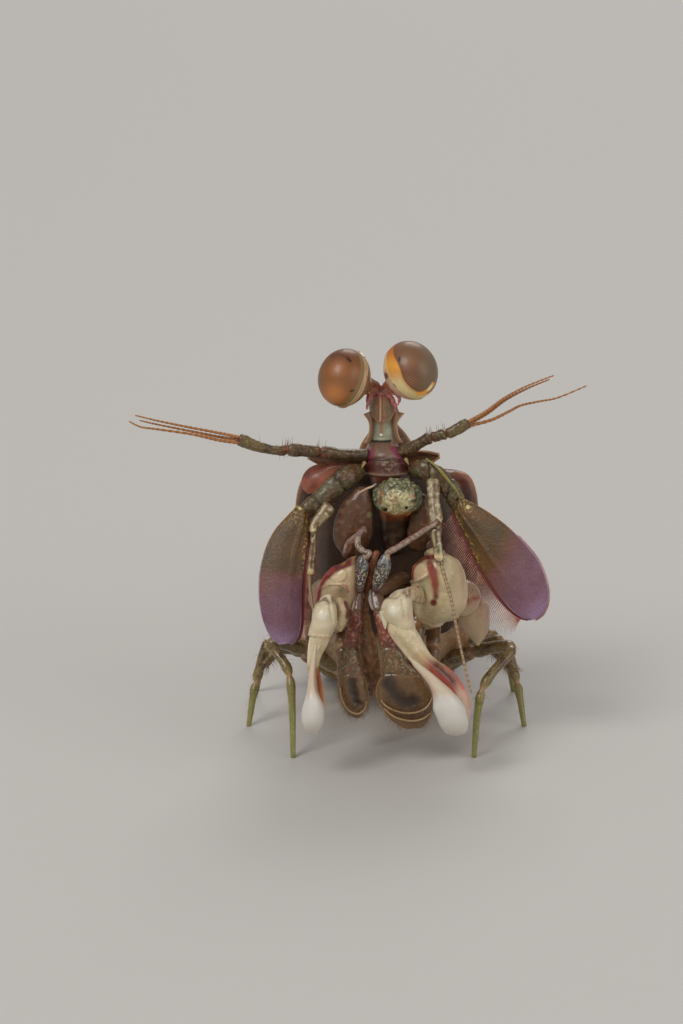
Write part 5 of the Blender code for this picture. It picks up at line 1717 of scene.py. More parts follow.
def scale_place(side, edge, shift=0.0):
    """The places of one edge of a paddle, moved towards the body by shift pixels."""
    return [spot(x - side * shift, y + 0.3 * shift, depth) for x, y, depth in SCALE_EDGES[side][edge]]


print("points on a scale's edge:", len(SCALE_EDGES[LEFT][0]))


# %% [markdown]
# ## Building the scales
# Each paddle is stretched between its edges with a low ridge, and a dark strip lies along its inner edge.
# Stiff hairs stand in a comb on that strip, and short ones round the end.

# %% Building the scales


COMB_LENGTHS = {LEFT: 3.3, RIGHT: 1.8}
COMB_HAIRS, FRINGE_HAIRS = 66, 150
comb = []
for side in (LEFT, RIGHT):
    inner, outer = scale_place(side, 0), scale_place(side, 1)

    def ripple(along, across):
        """A low ridge along the paddle and a soft fold beside it."""
        ridge = hump(across - 0.28, 0.06) * (1 - ease(along, 0.35, 0.75))
        return BACK * (0.1 * ridge)

    paddle = panel(inner, outer, 0.22, 0.42, 190, 110, ripple)
    push(paddle, lambda co, way: 0.016 * cloud(co, 5.0) + 0.014 * cloud(co, 9.0, 3.0))
    paint(paddle, scale_wash(side))
    margin = panel(scale_place(side, 0, 3.4), scale_place(side, 0, -0.6), 0.14, 0.04, 110, 8)
    bmesh.ops.translate(margin, vec=(0, 0.12, 0), verts=margin.verts)
    paint(margin, lambda co, way: [(tone(104, 30, 34), 0.95),
                                   (tone(152, 60, 50), 0.6 * ease(-way[1], 0.2, 0.9))])
    piece("scale_paddle_" + TAGS[side], joined(paddle, margin), "scale", "antennal_scale_" + TAGS[side])

    row = smooth_row([Vector(place) for place in scale_place(side, 0, 2.4)], 12)
    last = len(row) - 1
    for number in range(COMB_HAIRS):
        share = 0.1 + 0.78 * number / (COMB_HAIRS - 1)
        index = min(int(share * last), last - 1)
        root = row[index].lerp(row[index + 1], share * last - index)
        ahead = (row[index + 1] - row[index]).normalized()
        inward = Vector((-side, 0.0, 0.0))
        size = COMB_LENGTHS[side] * (0.15 + 0.85 * math.sin(math.pi * clamp(0.12 + share * 0.92)))
        direction = inward * 1.25 + ahead + Vector((0, 0.1, 0))
        comb.append((root, direction, (0, 0, -1), size * random.uniform(0.94, 1.04), 0.05, 0.2, share))
    row = smooth_row([Vector(place) for place in scale_place(side, 1)], 12)
    for number in range(FRINGE_HAIRS):
        share = 0.45 + 0.54 * number / (FRINGE_HAIRS - 1)
        index = min(int(share * last), last - 1)
        root = row[index].lerp(row[index + 1], share * last - index)
        ahead = (row[index + 1] - row[index]).normalized()
        comb.append((root, ahead.cross(BACK) * -side + ahead * 1.2, ahead, 0.3, 0.02, 0.8, share))
hairs("scale_comb", "fringe", comb)

# %% [markdown]
# ## Face
# Below the neck lies the dark red epistome, then the labrum, a round crusty dome mottled green and cream
# with an orange rim, and the two brown jaws beside it.

# %% Face
EPISTOME_ROWS = [(371, 446, 397, 446, 3.4, 1.0), (368.5, 449.5, 401, 449.5, 3.1, 1.15),
                 (367.5, 455, 402.5, 455, 2.9, 1.3), (366.5, 462, 406, 462, 2.8, 1.45),
                 (366.5, 470, 408.5, 469, 2.8, 1.5), (369, 477, 409, 476, 2.9, 1.5),
                 (372, 488, 412, 487, 3.0, 1.5), (376, 503, 414, 503, 2.9, 1.5),
                 (380, 520, 414, 519, 2.9, 1.5), (381, 537, 411, 536, 3.0, 1.3),
                 (384, 548, 405, 548, 3.1, 1.0)]
JAWS = ([(351, 493, 369, 493, 0.6, 0.7), (342, 503, 372.5, 502, 0.6, 0.95),
         (336, 516, 374, 516, 0.6, 1.05), (333, 529, 374, 529, 0.6, 1.05), (334, 542, 370, 543, 0.7, 0.95),
         (341, 553, 362, 555, 0.8, 0.7)],
        [(417, 498, 428, 498, 1.4, 0.7), (413, 508, 433, 508, 1.4, 0.9), (409, 520, 436, 520, 1.4, 1.0),
         (407, 532, 434, 532, 1.4, 1.0), (408, 544, 428, 544, 1.5, 0.8)])
TUBERCLES = {RIGHT: (362.4, 464.5), LEFT: (408, 461)}
TISSUE_ROWS = [(373, 552, 380, 553, -2.6, 0.4), (368.5, 566, 375, 567, -3.4, 0.4),
               (366, 580, 373, 581, -3.6, 0.4), (363.5, 593, 371, 594, -3.7, 0.4),
               (360, 606, 369, 608, -4.0, 0.4), (358, 622, 372, 624, -4.4, 0.4),
               (358, 645, 377, 646, -4.6, 0.36), (361, 672, 381, 673, -4.4, 0.3),
               (369, 694, 379, 695, -4.2, 0.16)]


def epistome_relief(co, way):
    """A low boss above, a raised fuzzy field, a sharp lower lip and rough skin."""
    at = seen(co)
    front = ease(way[2], -0.1, 0.4)
    lip = hump(at.y - 474.5 + 0.006 * (at.x - 387) ** 2, 2.2)
    step = hump(at.y - 459.0 - 0.02 * (at.x - 385) ** 2 * 0.3, 1.8)
    return front * (0.14 * lip - 0.12 * step) + 0.03 * cloud(co, 1.6) + 0.02 * cloud(co, 5.0)


def epistome_wash(co, way):
    """Grey brown above with magenta corners, dark red below with a grey fuzzy middle."""
    at = seen(co)
    ink = ease(way[3], 0.0, 0.25)
    corners = max(streak(at, [(372, 451), (369.5, 460)], 5.0, 0.8),
                  streak(at, [(393, 449), (399, 456), (402, 460)], 5.0, 0.8))
    fuzz = near(at, (387, 464), 14, 0.8) * ease(cloud(co, 4.6), -0.1, 0.2)
    bars = ease(math.sin(at.y * 2.2), 0.1, 0.8) * near(at, (383, 451), 7, 0.8)
    return [
        (tone(92, 44, 34), 0.85),
        (tone(138, 110, 90), 0.85 * ink * (1 - ease(at.y, 452, 461))),
        (tone(156, 142, 116), 0.8 * ink * fuzz),
        (tone(96, 78, 66), 0.7 * ink * bars),
        (tone(126, 66, 40), 0.6 * ink * ease(cloud(co, 1.0, 2.0), 0.0, 0.35)),
        (tone(138, 52, 80), 0.95 * ink * corners),
        (tone(60, 40, 30), 0.7 * ink * hump(at.y - 460, 1.6)),
        (tone(176, 150, 122), 0.85 * ink * hump(at.y - 475.5 + 0.006 * (at.x - 387) ** 2, 1.1)),
        (tone(64, 38, 24), 0.9 * ease(at.y, 479, 484)),
        (tone(172, 92, 42), 0.9 * ink * ease(at.y, 504, 510) * (1 - ease(at.y, 516, 524))),
        (tone(96, 84, 56), 0.7 * ink * ease(at.y, 520, 530) * ease(cloud(co, 1.6), -0.2, 0.3)),
    ]
print("epistome rows:", len(EPISTOME_ROWS))

# %% [markdown]
# ## Labrum, jaws and hanging tissue
# The labrum is crusty, so noise pushes its corners as well as colouring them. The jaws are plain brown, and
# a thin tan strip hangs below the mouth.

# %% Labrum, jaws and hanging tissue


def labrum_relief(co, way):
    """Crusty granules, coarse above and fine in the middle."""
    at = seen(co)
    above = 1 - ease(at.y, 486, 494)
    return (0.1 + 0.08 * above) * cloud(co, 3.0) + 0.05 * cloud(co, 6.5) if co.y < 0.9 else 0.0


def labrum_wash(co, way):
    """Dark green mottles above, a cream crust in the middle, orange flanks and two dark dots."""
    at = seen(co)
    ink = ease(way[3], 0.0, 0.2)
    wavy = 0.22 * cloud(co, 1.4, 3.0) + 0.16 * cloud(co, 3.4, 1.0)
    field = 1 - ease(math.hypot((at.x - 397) / 15.5, (at.y - 502.0) / 12.5) + wavy, 0.8, 1.1)
    torn = ease(cloud(co, 3.6, 4.0), -0.25, 0.25)
    crust = ease(cloud(co, 3.2), -0.4, 0.1)
    return [
        (tone(110, 112, 80), 0.9),
        (tone(170, 168, 132), 0.8 * ease(cloud(co, 3.8, 5.0), 0.0, 0.3)),
        (tone(56, 56, 40), 0.8 * ease(cloud(co, 3.0, 2.0), 0.1, 0.32)),
        (tone(176, 98, 48), 0.85 * ink * torn * max(streak(at, [(381, 489), (381.5, 503)], 4.0, 1.0),
                                                   streak(at, [(412.5, 488), (412, 502)], 4.0, 1.0))),
        (tone(190, 110, 50), 0.85 * ink * ease(at.y, 509, 514)),
        (tone(206, 196, 148), 0.95 * ink * field * (0.45 + 0.55 * crust)),
        (tone(232, 222, 170), 0.7 * ink * field * ease(cloud(co, 4.0, 9.0), 0.1, 0.35)),
        (tone(138, 120, 78), 0.7 * ink * field * ease(cloud(co, 4.6, 6.0), 0.08, 0.3)),
        (tone(150, 108, 84), 0.6 * ink * near(at, (395, 500), 5.0)),
        (tone(26, 20, 16), ink * max(near(at, (385.6, 509.6), 2.6), near(at, (406.4, 507.8), 2.4))),
    ]


def jaw_wash(co, way):
    """Brown with small pale dots, and a darker rim."""
    return [(tone(98, 64, 38), 0.85), (tone(136, 100, 66), 0.6 * ease(cloud(co, 2.6), 0.15, 0.35)),
            (tone(62, 42, 28), 0.7 * ease(abs(way[1]), 0.8, 0.98)),
            (tone(120, 128, 78), 0.8 * near(seen(co), (369.5, 514.5), 3.4) * ease(way[3], 0.0, 0.2))]


def tissue_wash(co, way):
    """Orange red above, then tan and glassy."""
    at = seen(co)
    return [(tone(158, 86, 54), 0.9 * (1 - ease(at.y, 590, 622))),
            (tone(132, 94, 56), 0.9 * ease(at.y, 590, 622)),
            (tone(104, 68, 42), 0.5 * ease(cloud(co, 1.6), 0.0, 0.3)),
            (tone(184, 128, 84), 0.5 * ease(cloud(co, 3.0, 5.0), 0.15, 0.35))]


print("jaws:", len(JAWS))


# %% [markdown]
# ## Building the face
# The mouth's pieces lie close together and move as one, so they are joined, and only the labrum stays
# apart.

# %% Building the face


epistome = paint(push(drawn(EPISTOME_ROWS, sides=80, spans=12), epistome_relief), epistome_wash)
labrum = ball((0.78, 0.6, 20.4), (0, -1, 0.1), (1.98, 1.55, 1.4), segments=130, rings=90)
paint(push(labrum, labrum_relief), labrum_wash)
face_parts = [epistome]
for rows in JAWS:
    jaw = push(drawn(rows, sides=64, spans=12), lambda co, way: 0.03 * cloud(co, 2.6))
    face_parts.append(paint(jaw, jaw_wash))
for side, (x, y) in TUBERCLES.items():
    tubercle = thorn(spot(x - side * 2, y - 1.5, 1.7), spot(x + side * 0.6, y + 3.5, 1.1), 0.17)
    face_parts.append(stained(tubercle, tone(170, 146, 92)))
filament = traced([(375.8, 484, 0.2), (372, 486.5, -0.3), (364, 490, -0.5), (354, 496.5, -0.5)],
                  [0.05, 0.09, 0.08, 0.03])
face_parts.append(stained(filament, tone(206, 176, 150)))
tissue = drawn(TISSUE_ROWS, sides=40, spans=12)
face_parts.append(paint(push(tissue, lambda co, way: 0.05 * cloud(co, 2.0)), tissue_wash))
piece("face", joined(*face_parts), "epistome", "mouth")
piece("labrum_dome", labrum, "labrum")

# %% [markdown]
# ## Raptorial limbs
# The great second limbs are what the animal strikes with: a thick merus marked with maroon, an ivory block
# of a carpus, a propodus and, folded against it, the dactyl whose heel is the white club.

# %% Raptorial limbs
RAPTORS = {
    RIGHT: {
        "merus": [(346, 561, 357, 557.5, -3.2, 1.4), (331, 568.5, 361, 564, -3.0, 2.4),
                  (322, 577.5, 362, 574, -2.8, 3.0), (317, 588, 362, 586, -2.6, 3.3),
                  (315, 599, 360, 598, -2.4, 3.3), (316, 611, 357, 611, -2.2, 3.2),
                  (320, 621, 352, 621, -1.8, 2.7), (327, 628, 345, 628, -1.4, 1.8)],
        "hip": [(330, 588, 352, 588, -0.2, 1.0), (330, 590, 352, 590, 1.6, 1.0)],
        "hip_line": [(-4.9, -1.0, 12.6), (-5.2, 3.0, 11.6), (-5.0, 5.0, 11.6)],
        "knob": [(335, 600, 345, 601, -6.6, 0.7), (335, 608, 348.5, 609, -6.8, 0.95),
                 (334, 617, 348, 618.5, -7.0, 0.95), (335, 624.5, 345, 626.5, -7.2, 0.7),
                 (337, 629, 342.5, 630, -7.3, 0.4)],
        "carpus": [(319, 600.5, 333, 600, -8.3, 0.7), (314.5, 605.5, 336, 606, -8.4, 1.1),
                   (312.6, 613, 337.3, 614, -8.5, 1.25), (311.4, 621, 336.6, 622, -8.6, 1.25),
                   (309, 628.5, 334.5, 629, -8.7, 1.15), (308.4, 633.5, 331.5, 635, -8.75, 1.0),
                   (310, 637.5, 329, 639.5, -8.75, 0.85)],
        "horn": ((334, 622, -8.2), (331.5, 634.5, -9.0), 0.3),
        "propodus": [(310, 634, 330.5, 636, -8.75, 0.85), (308.2, 644, 327, 646, -8.75, 0.85),
                     (307.2, 656, 321.5, 656, -8.7, 0.85), (307.2, 667, 318.9, 667, -8.6, 0.85),
                     (307.8, 677, 321, 677, -8.5, 0.9), (308, 689, 324.4, 689, -8.4, 0.95),
                     (308.5, 701, 325.6, 701, -8.3, 0.85), (311, 711, 324.6, 711, -8.2, 0.6)],
        "club": [(314.6, 645, 317, 645, -9.6, 0.16), (311.5, 659, 316, 659, -9.7, 0.26),
                 (309.4, 671, 315.3, 671, -9.8, 0.34), (308, 681, 315.4, 681, -9.85, 0.42),
                 (307, 690, 317, 690, -9.85, 0.6), (304.8, 699, 321, 699, -9.85, 0.95),
                 (302, 709, 324.4, 709, -9.8, 1.22), (301.5, 719, 324.2, 718.5, -9.7, 1.3),
                 (303.4, 726.5, 322.2, 726, -9.6, 1.12), (306.4, 731.8, 319.4, 731.6, -9.5, 0.8)],
    },
    LEFT: {
        "merus": [(424, 556.5, 446, 553, -2.8, 1.9), (415, 564, 458, 560, -2.8, 2.7),
                  (412.5, 574, 464, 571, -2.7, 3.2), (411, 585, 467, 584, -2.6, 3.4),
                  (410.5, 597, 468, 597, -2.5, 3.4), (412, 609, 465, 608, -2.3, 3.2),
                  (416, 619, 456, 617, -2.0, 2.7), (421, 626, 441, 624, -1.6, 1.7)],
        "hip": [(461, 601, 483, 598.5, 0.4, 1.2), (457, 608, 489, 605, 0.4, 1.5),
                (456.5, 618, 490, 617, 0.5, 1.5), (461, 629, 489, 629, 0.6, 1.2),
                (469, 637, 485, 638, 0.7, 0.8), (474.5, 643, 480, 644, 0.8, 0.4)],
        "hip_line": [(6.0, -0.6, 12.4), (6.2, 3.0, 11.6), (5.0, 5.0, 11.6)],
        "knob": [(399, 593, 403, 603, -7.9, 0.9), (405, 588, 410, 602, -7.3, 1.05),
                 (413, 586, 418, 603, -6.4, 1.1), (419, 585, 424, 602, -5.4, 1.0)],
        "carpus": [(389, 596.6, 409, 595.4, -8.4, 0.7), (384, 600.5, 411.6, 599.5, -8.6, 1.1),
                   (381, 607.5, 412.6, 607.5, -8.8, 1.25), (381, 615, 413.4, 617, -8.9, 1.25),
                   (384.5, 620.5, 415, 624.5, -8.95, 1.15), (389, 623.5, 415.4, 630, -9.0, 0.95),
                   (394, 624.5, 412.5, 632.6, -9.0, 0.75)],
        "horn": ((384.5, 613, -9.2), (385.2, 629, -9.6), 0.42),
        "propodus": [(387, 626.5, 411.5, 622, -9.05, 0.8), (389, 634, 418.5, 633, -9.1, 0.9),
                     (397, 645, 425.5, 645.5, -9.1, 0.9), (405, 655, 431.5, 655, -9.1, 0.9),
                     (412.5, 664, 439.5, 661.5, -9.1, 0.9), (421, 672, 448.5, 667.5, -9.1, 0.92),
                     (430, 680.5, 456.5, 675.5, -9.1, 0.92), (438.5, 690, 463.5, 685, -9.05, 0.9),
                     (446, 699, 468.6, 694, -9.05, 0.85), (452, 709, 471, 704, -9.0, 0.8),
                     (456, 718, 470.4, 714, -9.0, 0.7), (461, 725, 467.6, 722, -8.95, 0.5)],
        "club": [(407.6, 657, 410, 656, -9.65, 0.14), (414, 667, 421.5, 664.6, -9.75, 0.26),
                 (421, 675, 431.4, 672.4, -9.85, 0.36), (427, 683, 441, 680.6, -9.9, 0.5),
                 (431.4, 691, 450.6, 689, -9.95, 0.78), (433, 700, 458.6, 697.6, -9.95, 1.05),
                 (433, 709, 464.4, 706.4, -9.9, 1.2), (436.6, 718, 467, 716, -9.8, 1.2),
                 (439.6, 725, 468.4, 723, -9.7, 1.1), (443.6, 730.8, 467.6, 729, -9.6, 0.95)],
    },
}
MAROON = tone(106, 26, 28)
RED = tone(176, 48, 40)
CREAM = tone(228, 214, 176)
BROWN = tone(112, 78, 52)
print("rows in the left limb's outlines:", sum(len(RAPTORS[LEFT][name]) for name in ("merus",
                                                                                     "propodus", "club")))

# %% [markdown]
# ## Colours of the merus
# The right and left merus carry different maroon marks in the photograph. Each mark is a streak or a spot
# laid at its place, and noise in its width keeps its edge from looking drawn.

# %% Colours of the merus


def right_merus_wash(co, way):
    """Tan cream field inside a maroon arc, a grey brown joint below it and a pale band beside it."""
    at = seen(co)
    ink = ease(way[3], -0.1, 0.2)
    arc = [(314.5, 603), (316, 593), (318.5, 585), (324, 576.5), (333, 569), (344, 564), (357, 560)]
    return [
        (tone(206, 180, 142), 0.5),
        (tone(166, 142, 108), 0.7 * ink * ease(at.y, 583, 592) * (1 - ease(at.x, 345, 350))),
        (MAROON, ink * streak(at, arc, 6.5 + 1.5 * cloud(co, 1.6), 0.6)),
        (RED, 0.85 * ink * streak(at, arc[:5], 3.0, 0.8)),
        (tone(222, 160, 70), 0.9 * ink * near(at, (343, 562.5), 3.2)),
        (RED, 0.7 * ink * streak(at, [(342.5, 584.5), (346.5, 586), (348.5, 592)], 1.6, 1.0)),
        (tone(104, 86, 64), 0.7 * ink * near(at, (341.5, 590), 6.0, 1.0)),
        (MAROON, 0.9 * ink * streak(at, [(346, 603), (348.6, 610), (347.5, 616)], 2.4)),
        (tone(190, 150, 112), 0.7 * ink * ease(at.x, 349, 355)),
        (tone(150, 88, 60), 0.5 * (1 - ease(way[3], -0.6, 0.1))),
    ]


def left_merus_wash(co, way):
    """Greenish cream with a maroon streak that ends in a spot, a red crown and a pale oval beside it."""
    at = seen(co)
    ink = ease(way[3], -0.1, 0.2)
    ragged = 1 + 0.35 * cloud(co, 2.2)
    oval = 1 - ease(math.hypot((at.x - 420) / 8.5, (at.y - 573) / 8.5), 0.85, 1.05)
    return [
        (tone(206, 190, 146), 0.6),
        (tone(176, 164, 118), 0.6 * ease(cloud(co, 0.9, 3.0), -0.1, 0.4)),
        (tone(172, 174, 140), 0.6 * ink * streak(at, [(424, 578), (425, 590)], 7.0, 1.0)),
        (tone(216, 190, 150), 0.95 * ink * oval),
        (tone(238, 214, 180), ink * streak(at, [(400, 585), (411, 581.5), (420, 579), (428, 572)], 1.3, 0.8)),
        (RED, 0.95 * ink * streak(at, [(412.5, 581), (412.5, 571), (417, 563), (425, 557)], 1.9, 0.8)),
        (MAROON, ink * ragged * streak(at, [(417, 561), (425, 556.5), (436, 557), (440, 562)], 5.0, 0.8)),
        (MAROON, 0.95 * ink * streak(at, [(430, 564), (433.5, 573), (435.5, 584)], 6.0 * ragged, 0.7)),
        (MAROON, 0.9 * ink * streak(at, [(435.5, 582), (435.8, 597)], 4.2 * ragged, 0.8)),
        (tone(176, 92, 70), 0.5 * ink * streak(at, [(431, 566), (436, 588)], 9.0 * ragged, 1.0)),
        (RED, 0.6 * ink * streak(at, [(429, 568), (432, 578)], 2.0, 1.0)),
        (MAROON, ink * near(at, (433.6, 602.6), 4.6, 0.5)),
        (tone(122, 80, 54), 0.7 * ink * ease(cloud(co, 2.0, 4.0), -0.2, 0.2) * near(at, (416, 596), 9, 0.8)),
        (tone(190, 156, 112), 0.8 * ink * streak(at, [(414, 612), (420, 621), (430, 625)], 2.4, 0.8)),
        (tone(216, 190, 156), 0.7 * ease(at.x, 448, 460) * ink),
        (tone(206, 146, 120), 0.7 * ink * near(at, (414.5, 628), 3.0)),
    ]


def hip_wash(co, way):
    """Blurred cream with a red upper margin."""
    at = seen(co)
    arc = [(458, 608), (467, 600.5), (477, 597), (487, 599)]
    return [(tone(204, 178, 146), 0.85), (tone(182, 60, 46), 0.9 * streak(at, arc, 3.2, 0.9)
                                          * ease(way[3], -0.2, 0.2)),
            (tone(150, 104, 76), 0.6 * ease(at.x, 482, 492))]
print("maroon is", [round(c, 3) for c in MAROON])

# %% [markdown]
# ## Colours of the carpus, propodus and club
# These are ivory with brown creases, red and brown streaks above the club, and a plain white heel. A wash
# that needs a value of its own, such as a side, is made by a function that gives the rule back.

# %% Colours of the carpus, propodus and club


def carpus_wash(pixel, turn):
    """Ivory with a painted highlight on the boss, brown creases about the upper joint and a glassy lower rim.
    """
    middle = Vector(pixel)

    def rule(co, way):
        at = seen(co)
        ink = ease(way[3], -0.1, 0.2)
        offset = at - middle
        swirl = 0.5 + 0.5 * math.sin(0.55 * offset.length + turn * math.atan2(offset.y, offset.x))
        return [
            (tone(230, 220, 190), 0.6),
            # painted highlight: a near white spot on the raised boss
            (tone(244, 240, 222), 0.8 * ink * near(at, middle + Vector((-2, 2)), 9, 1.0)),
            (tone(206, 188, 150), 0.5 * ink * swirl * ease(offset.length, 5, 12)),
            (BROWN, 0.8 * (1 - ease(way[0], 0.06, 0.2)) * ease(cloud(co, 2.2), -0.3, 0.2)),
            (tone(214, 176, 120), 0.7 * ink * ease(way[0], 0.72, 0.86) * (0.5 + 0.5 * math.sin(at.x * 1.3))),
            (tone(216, 160, 144), 0.5 * ink * near(at, middle + Vector((13, 8)), 5, 1.0)),
        ]
    return rule


def knob_wash(co, way):
    """Brown seams over cream."""
    at = seen(co)
    seams = ease(abs(cloud(co, 1.1, 4.0)), 0.16, 0.02)
    return [(tone(206, 186, 148), 0.85), (tone(170, 140, 102), 0.6 * ease(cloud(co, 1.4, 2.0), -0.1, 0.3)),
            (tone(112, 80, 54), 0.7 * seams * (1 - ease(at.y, 606, 616))),
            (MAROON, 0.85 * streak(at, [(345.5, 603), (348.4, 610), (347, 617)], 2.6)
             * ease(way[3], -0.2, 0.2))]


def propodus_wash(side):
    """Cream above with a painted highlight along the edge that faces the light, red and brown above the club,
    and pinkish fibres beside it.
    """
    def rule(co, way):
        at = seen(co)
        ink = ease(way[3], -0.15, 0.15)
        fibres = 0.5 + 0.5 * math.sin(way[1] * 30 + 2.5 * cloud(co, 0.7))
        if side == LEFT:
            lower = ease(at.x + at.y, 1104, 1128)
            return [
                (CREAM, 0.55),
                (tone(196, 178, 140), 0.6 * ink * streak(at, [(396, 632), (410, 650), (424, 668)], 5.0, 1.0)),
                # painted highlight: a pale streak along the upper edge, which faces the light
                (tone(240, 228, 196), 0.7 * ink * streak(at, [(391, 637), (404, 653), (414, 664)], 2.4, 1.0)),
                (tone(186, 142, 96), 0.7 * ink * streak(at, [(418, 655), (436, 668)], 8.0, 1.0)),
                (tone(222, 190, 168), 0.85 * lower),
                (tone(190, 140, 120), 0.55 * lower * fibres),
                (tone(158, 78, 52), 0.8 * ink * streak(at, [(430, 666), (452, 688)], 13.0, 1.0)),
                (tone(96, 36, 24), 0.95 * ink * streak(at, [(437, 666), (452, 681)], 10.0, 1.0)),
                (tone(168, 44, 36), 0.75 * ink * streak(at, [(431, 670), (442, 679), (453, 692)], 4.4, 1.0)),
                (tone(160, 58, 40), 0.8 * ink * fibres * streak(at, [(446, 682), (458, 700)], 8.0, 1.0)),
                (tone(206, 78, 54), 0.8 * ink * streak(at, [(446, 666), (456, 674.5), (463, 688)], 3.6, 1.0)),
                (tone(206, 130, 112), 0.6 * ink * streak(at, [(462, 684), (468, 695), (470, 708)], 2.4, 1.0)),
            ]
        return [
            (CREAM, 0.55),
            (tone(186, 164, 122), 0.6 * ink * streak(at, [(317, 640), (313, 662)], 3.4, 1.0)),
            # painted highlight: a near white streak down the outer edge, which faces the light
            (tone(246, 240, 214), 0.7 * ink * streak(at, [(309, 640), (308, 665)], 1.8, 1.0)),
            (tone(190, 150, 104), 0.6 * ease(at.y, 655, 672)),
            (tone(166, 84, 34), 0.95 * ink * streak(at, [(318, 670), (319.5, 684), (321.5, 700)], 4.6, 0.9)),
            (tone(110, 48, 22), 0.8 * ink * streak(at, [(317.5, 676), (319, 692)], 2.0, 1.0)),
            (tone(224, 196, 166), 0.8 * ink * streak(at, [(321.8, 676), (325, 690), (325.6, 702)], 1.8, 0.9)),
            (tone(178, 44, 40), 0.95 * ink * streak(at, [(308, 677), (308, 691)], 1.6, 0.9)),
            (tone(214, 170, 140), 0.6 * ease(at.y, 700, 712)),
        ]
    return rule


def club_wash(side):
    """A white heel, a thin grey cream shaft and painted shade greying the lower end."""
    def rule(co, way):
        at = seen(co)
        heel = ease(at.y, 690, 704)
        shade = ease(at.y, 716, 736)
        return [(tone(216, 198, 172), 0.85 * (1 - heel)), (tone(226, 222, 214), 0.95 * heel),
                # painted shade: the lower end of the club is greyed
                (tone(190, 176, 160), 0.55 * shade),
                (tone(206, 150, 132), 0.5 * (1 - heel) * ease(-way[1] * side, 0.4, 0.9))]
    return rule


print("ivory finish:", FINISHES["ivory"].name)


# %% [markdown]
# ## Building the raptorial limbs
# Each article is drawn between its left and right edges, then pushed into relief and painted. The small
# bosses, creases and keels catch the light, so they are shape and not only colour.

# %% Building the raptorial limbs


MERUS_WASHES = {RIGHT: right_merus_wash, LEFT: left_merus_wash}
BOSSES = {RIGHT: (324, 614), LEFT: (396, 609)}
MERUS_RELIEFS = {
    LEFT: ((420, 572), [(399.5, 586), (411, 582), (420, 580), (428.5, 575), (431, 566)],
           [(416, 612), (421, 621), (432, 626), (446, 624), (458, 616)]),
    RIGHT: ((338, 574), [(322, 588), (331, 584), (342, 584), (348, 590)],
            [(346, 600), (350, 610), (348, 618)]),
}
for side in (LEFT, RIGHT):
    tag, row = TAGS[side], RAPTORS[side]
    merus = drawn(row["merus"], sides=120, spans=18, caps=(0.7, 0.7))
    pad, shelf, lower_edge = MERUS_RELIEFS[side]

    def merus_relief(co, way):
        """A smooth raised pad with a sharp shelf below it, and a thin edge at the lower end."""
        at = seen(co)
        raised = 1 - ease((at - Vector(pad)).length / 9.0, 0.8, 1.05)
        edges = streak(at, shelf, 2.2, 1.0) + 0.8 * streak(at, lower_edge, 2.0, 1.0)
        return ease(way[2], -0.1, 0.3) * (0.16 * raised + 0.2
                                          * edges) + 0.06 * cloud(co, 0.8) + 0.02 * cloud(co, 2.4)

    push(merus, merus_relief)
    hip = limb(row["hip_line"], [(1.5, 1.5), (1.2, 1.3), (1.0, 1.1)], (1, 0, 0), sides=32, spans=8)
    parts = [paint(merus, MERUS_WASHES[side]), paint(hip, hip_wash)]
    if side == LEFT:
        parts.append(paint(drawn(row["hip"], sides=56, spans=12), hip_wash))
    piece("merus_" + tag, joined(*parts), "ivory", "raptor_merus_" + tag)

    def carpus_relief(co, way):
        """Soft bosses with a crease between them, and a thin raised lower rim."""
        at = seen(co)
        boss = near(at, Vector(BOSSES[side]) + Vector((-3, 0)), 11, 1.0)
        crease = streak(at, [Vector(BOSSES[side]) + Vector((6, -10)), Vector(BOSSES[side]) + Vector((9, 8))],
                        2.2, 1.0)
        rim = hump(way[0] - 0.84, 0.035)
        return ease(way[3], -0.2, 0.3) * (0.22 * boss - 0.14 * crease) + 0.07 * rim + 0.05 * cloud(co, 1.0)

    block = push(drawn(row["carpus"], sides=80, spans=18, caps=(0.9, 0.4)), carpus_relief)
    knob = push(drawn(row["knob"], sides=48, spans=12), lambda co, way: 0.05 * cloud(co, 1.4))
    horn_root, horn_tip, thick = row["horn"]
    horn = thorn(spot(*horn_root), spot(*horn_tip), thick, sides=16)
    wash = carpus_wash(BOSSES[side], side)
    piece("carpus_" + tag, joined(paint(block, wash), paint(knob, knob_wash), paint(horn, wash)), "ivory",
          "raptor_carpus_" + tag)

    def palm_relief(co, way):
        """Two low keels along the propodus with a groove between them."""
        front = ease(way[2], 0.0, 0.6) * ease(way[0], 0.08, 0.2)
        return 0.07 * front * math.cos(way[1] * 5.0) + 0.012 * cloud(co, 2.0)

    palm = push(drawn(row["propodus"], sides=88, spans=20), palm_relief)
    piece("propodus_" + tag, paint(palm, propodus_wash(side)), "ivory", "raptor_propodus_" + tag)
    club = drawn(row["club"], sides=80, spans=20, caps=(0.3, 0.55))
    piece("club_" + tag, paint(club, club_wash(side)), "club", "raptor_dactyl_" + tag)

# %% [markdown]
# ## Maxillipeds
# Between the clubs hang the small feeding limbs. The first pair is thin and clean, speckled like metal. The
# other three pairs end in broad translucent hands with a hooked finger folded over a dark slot of bristles.

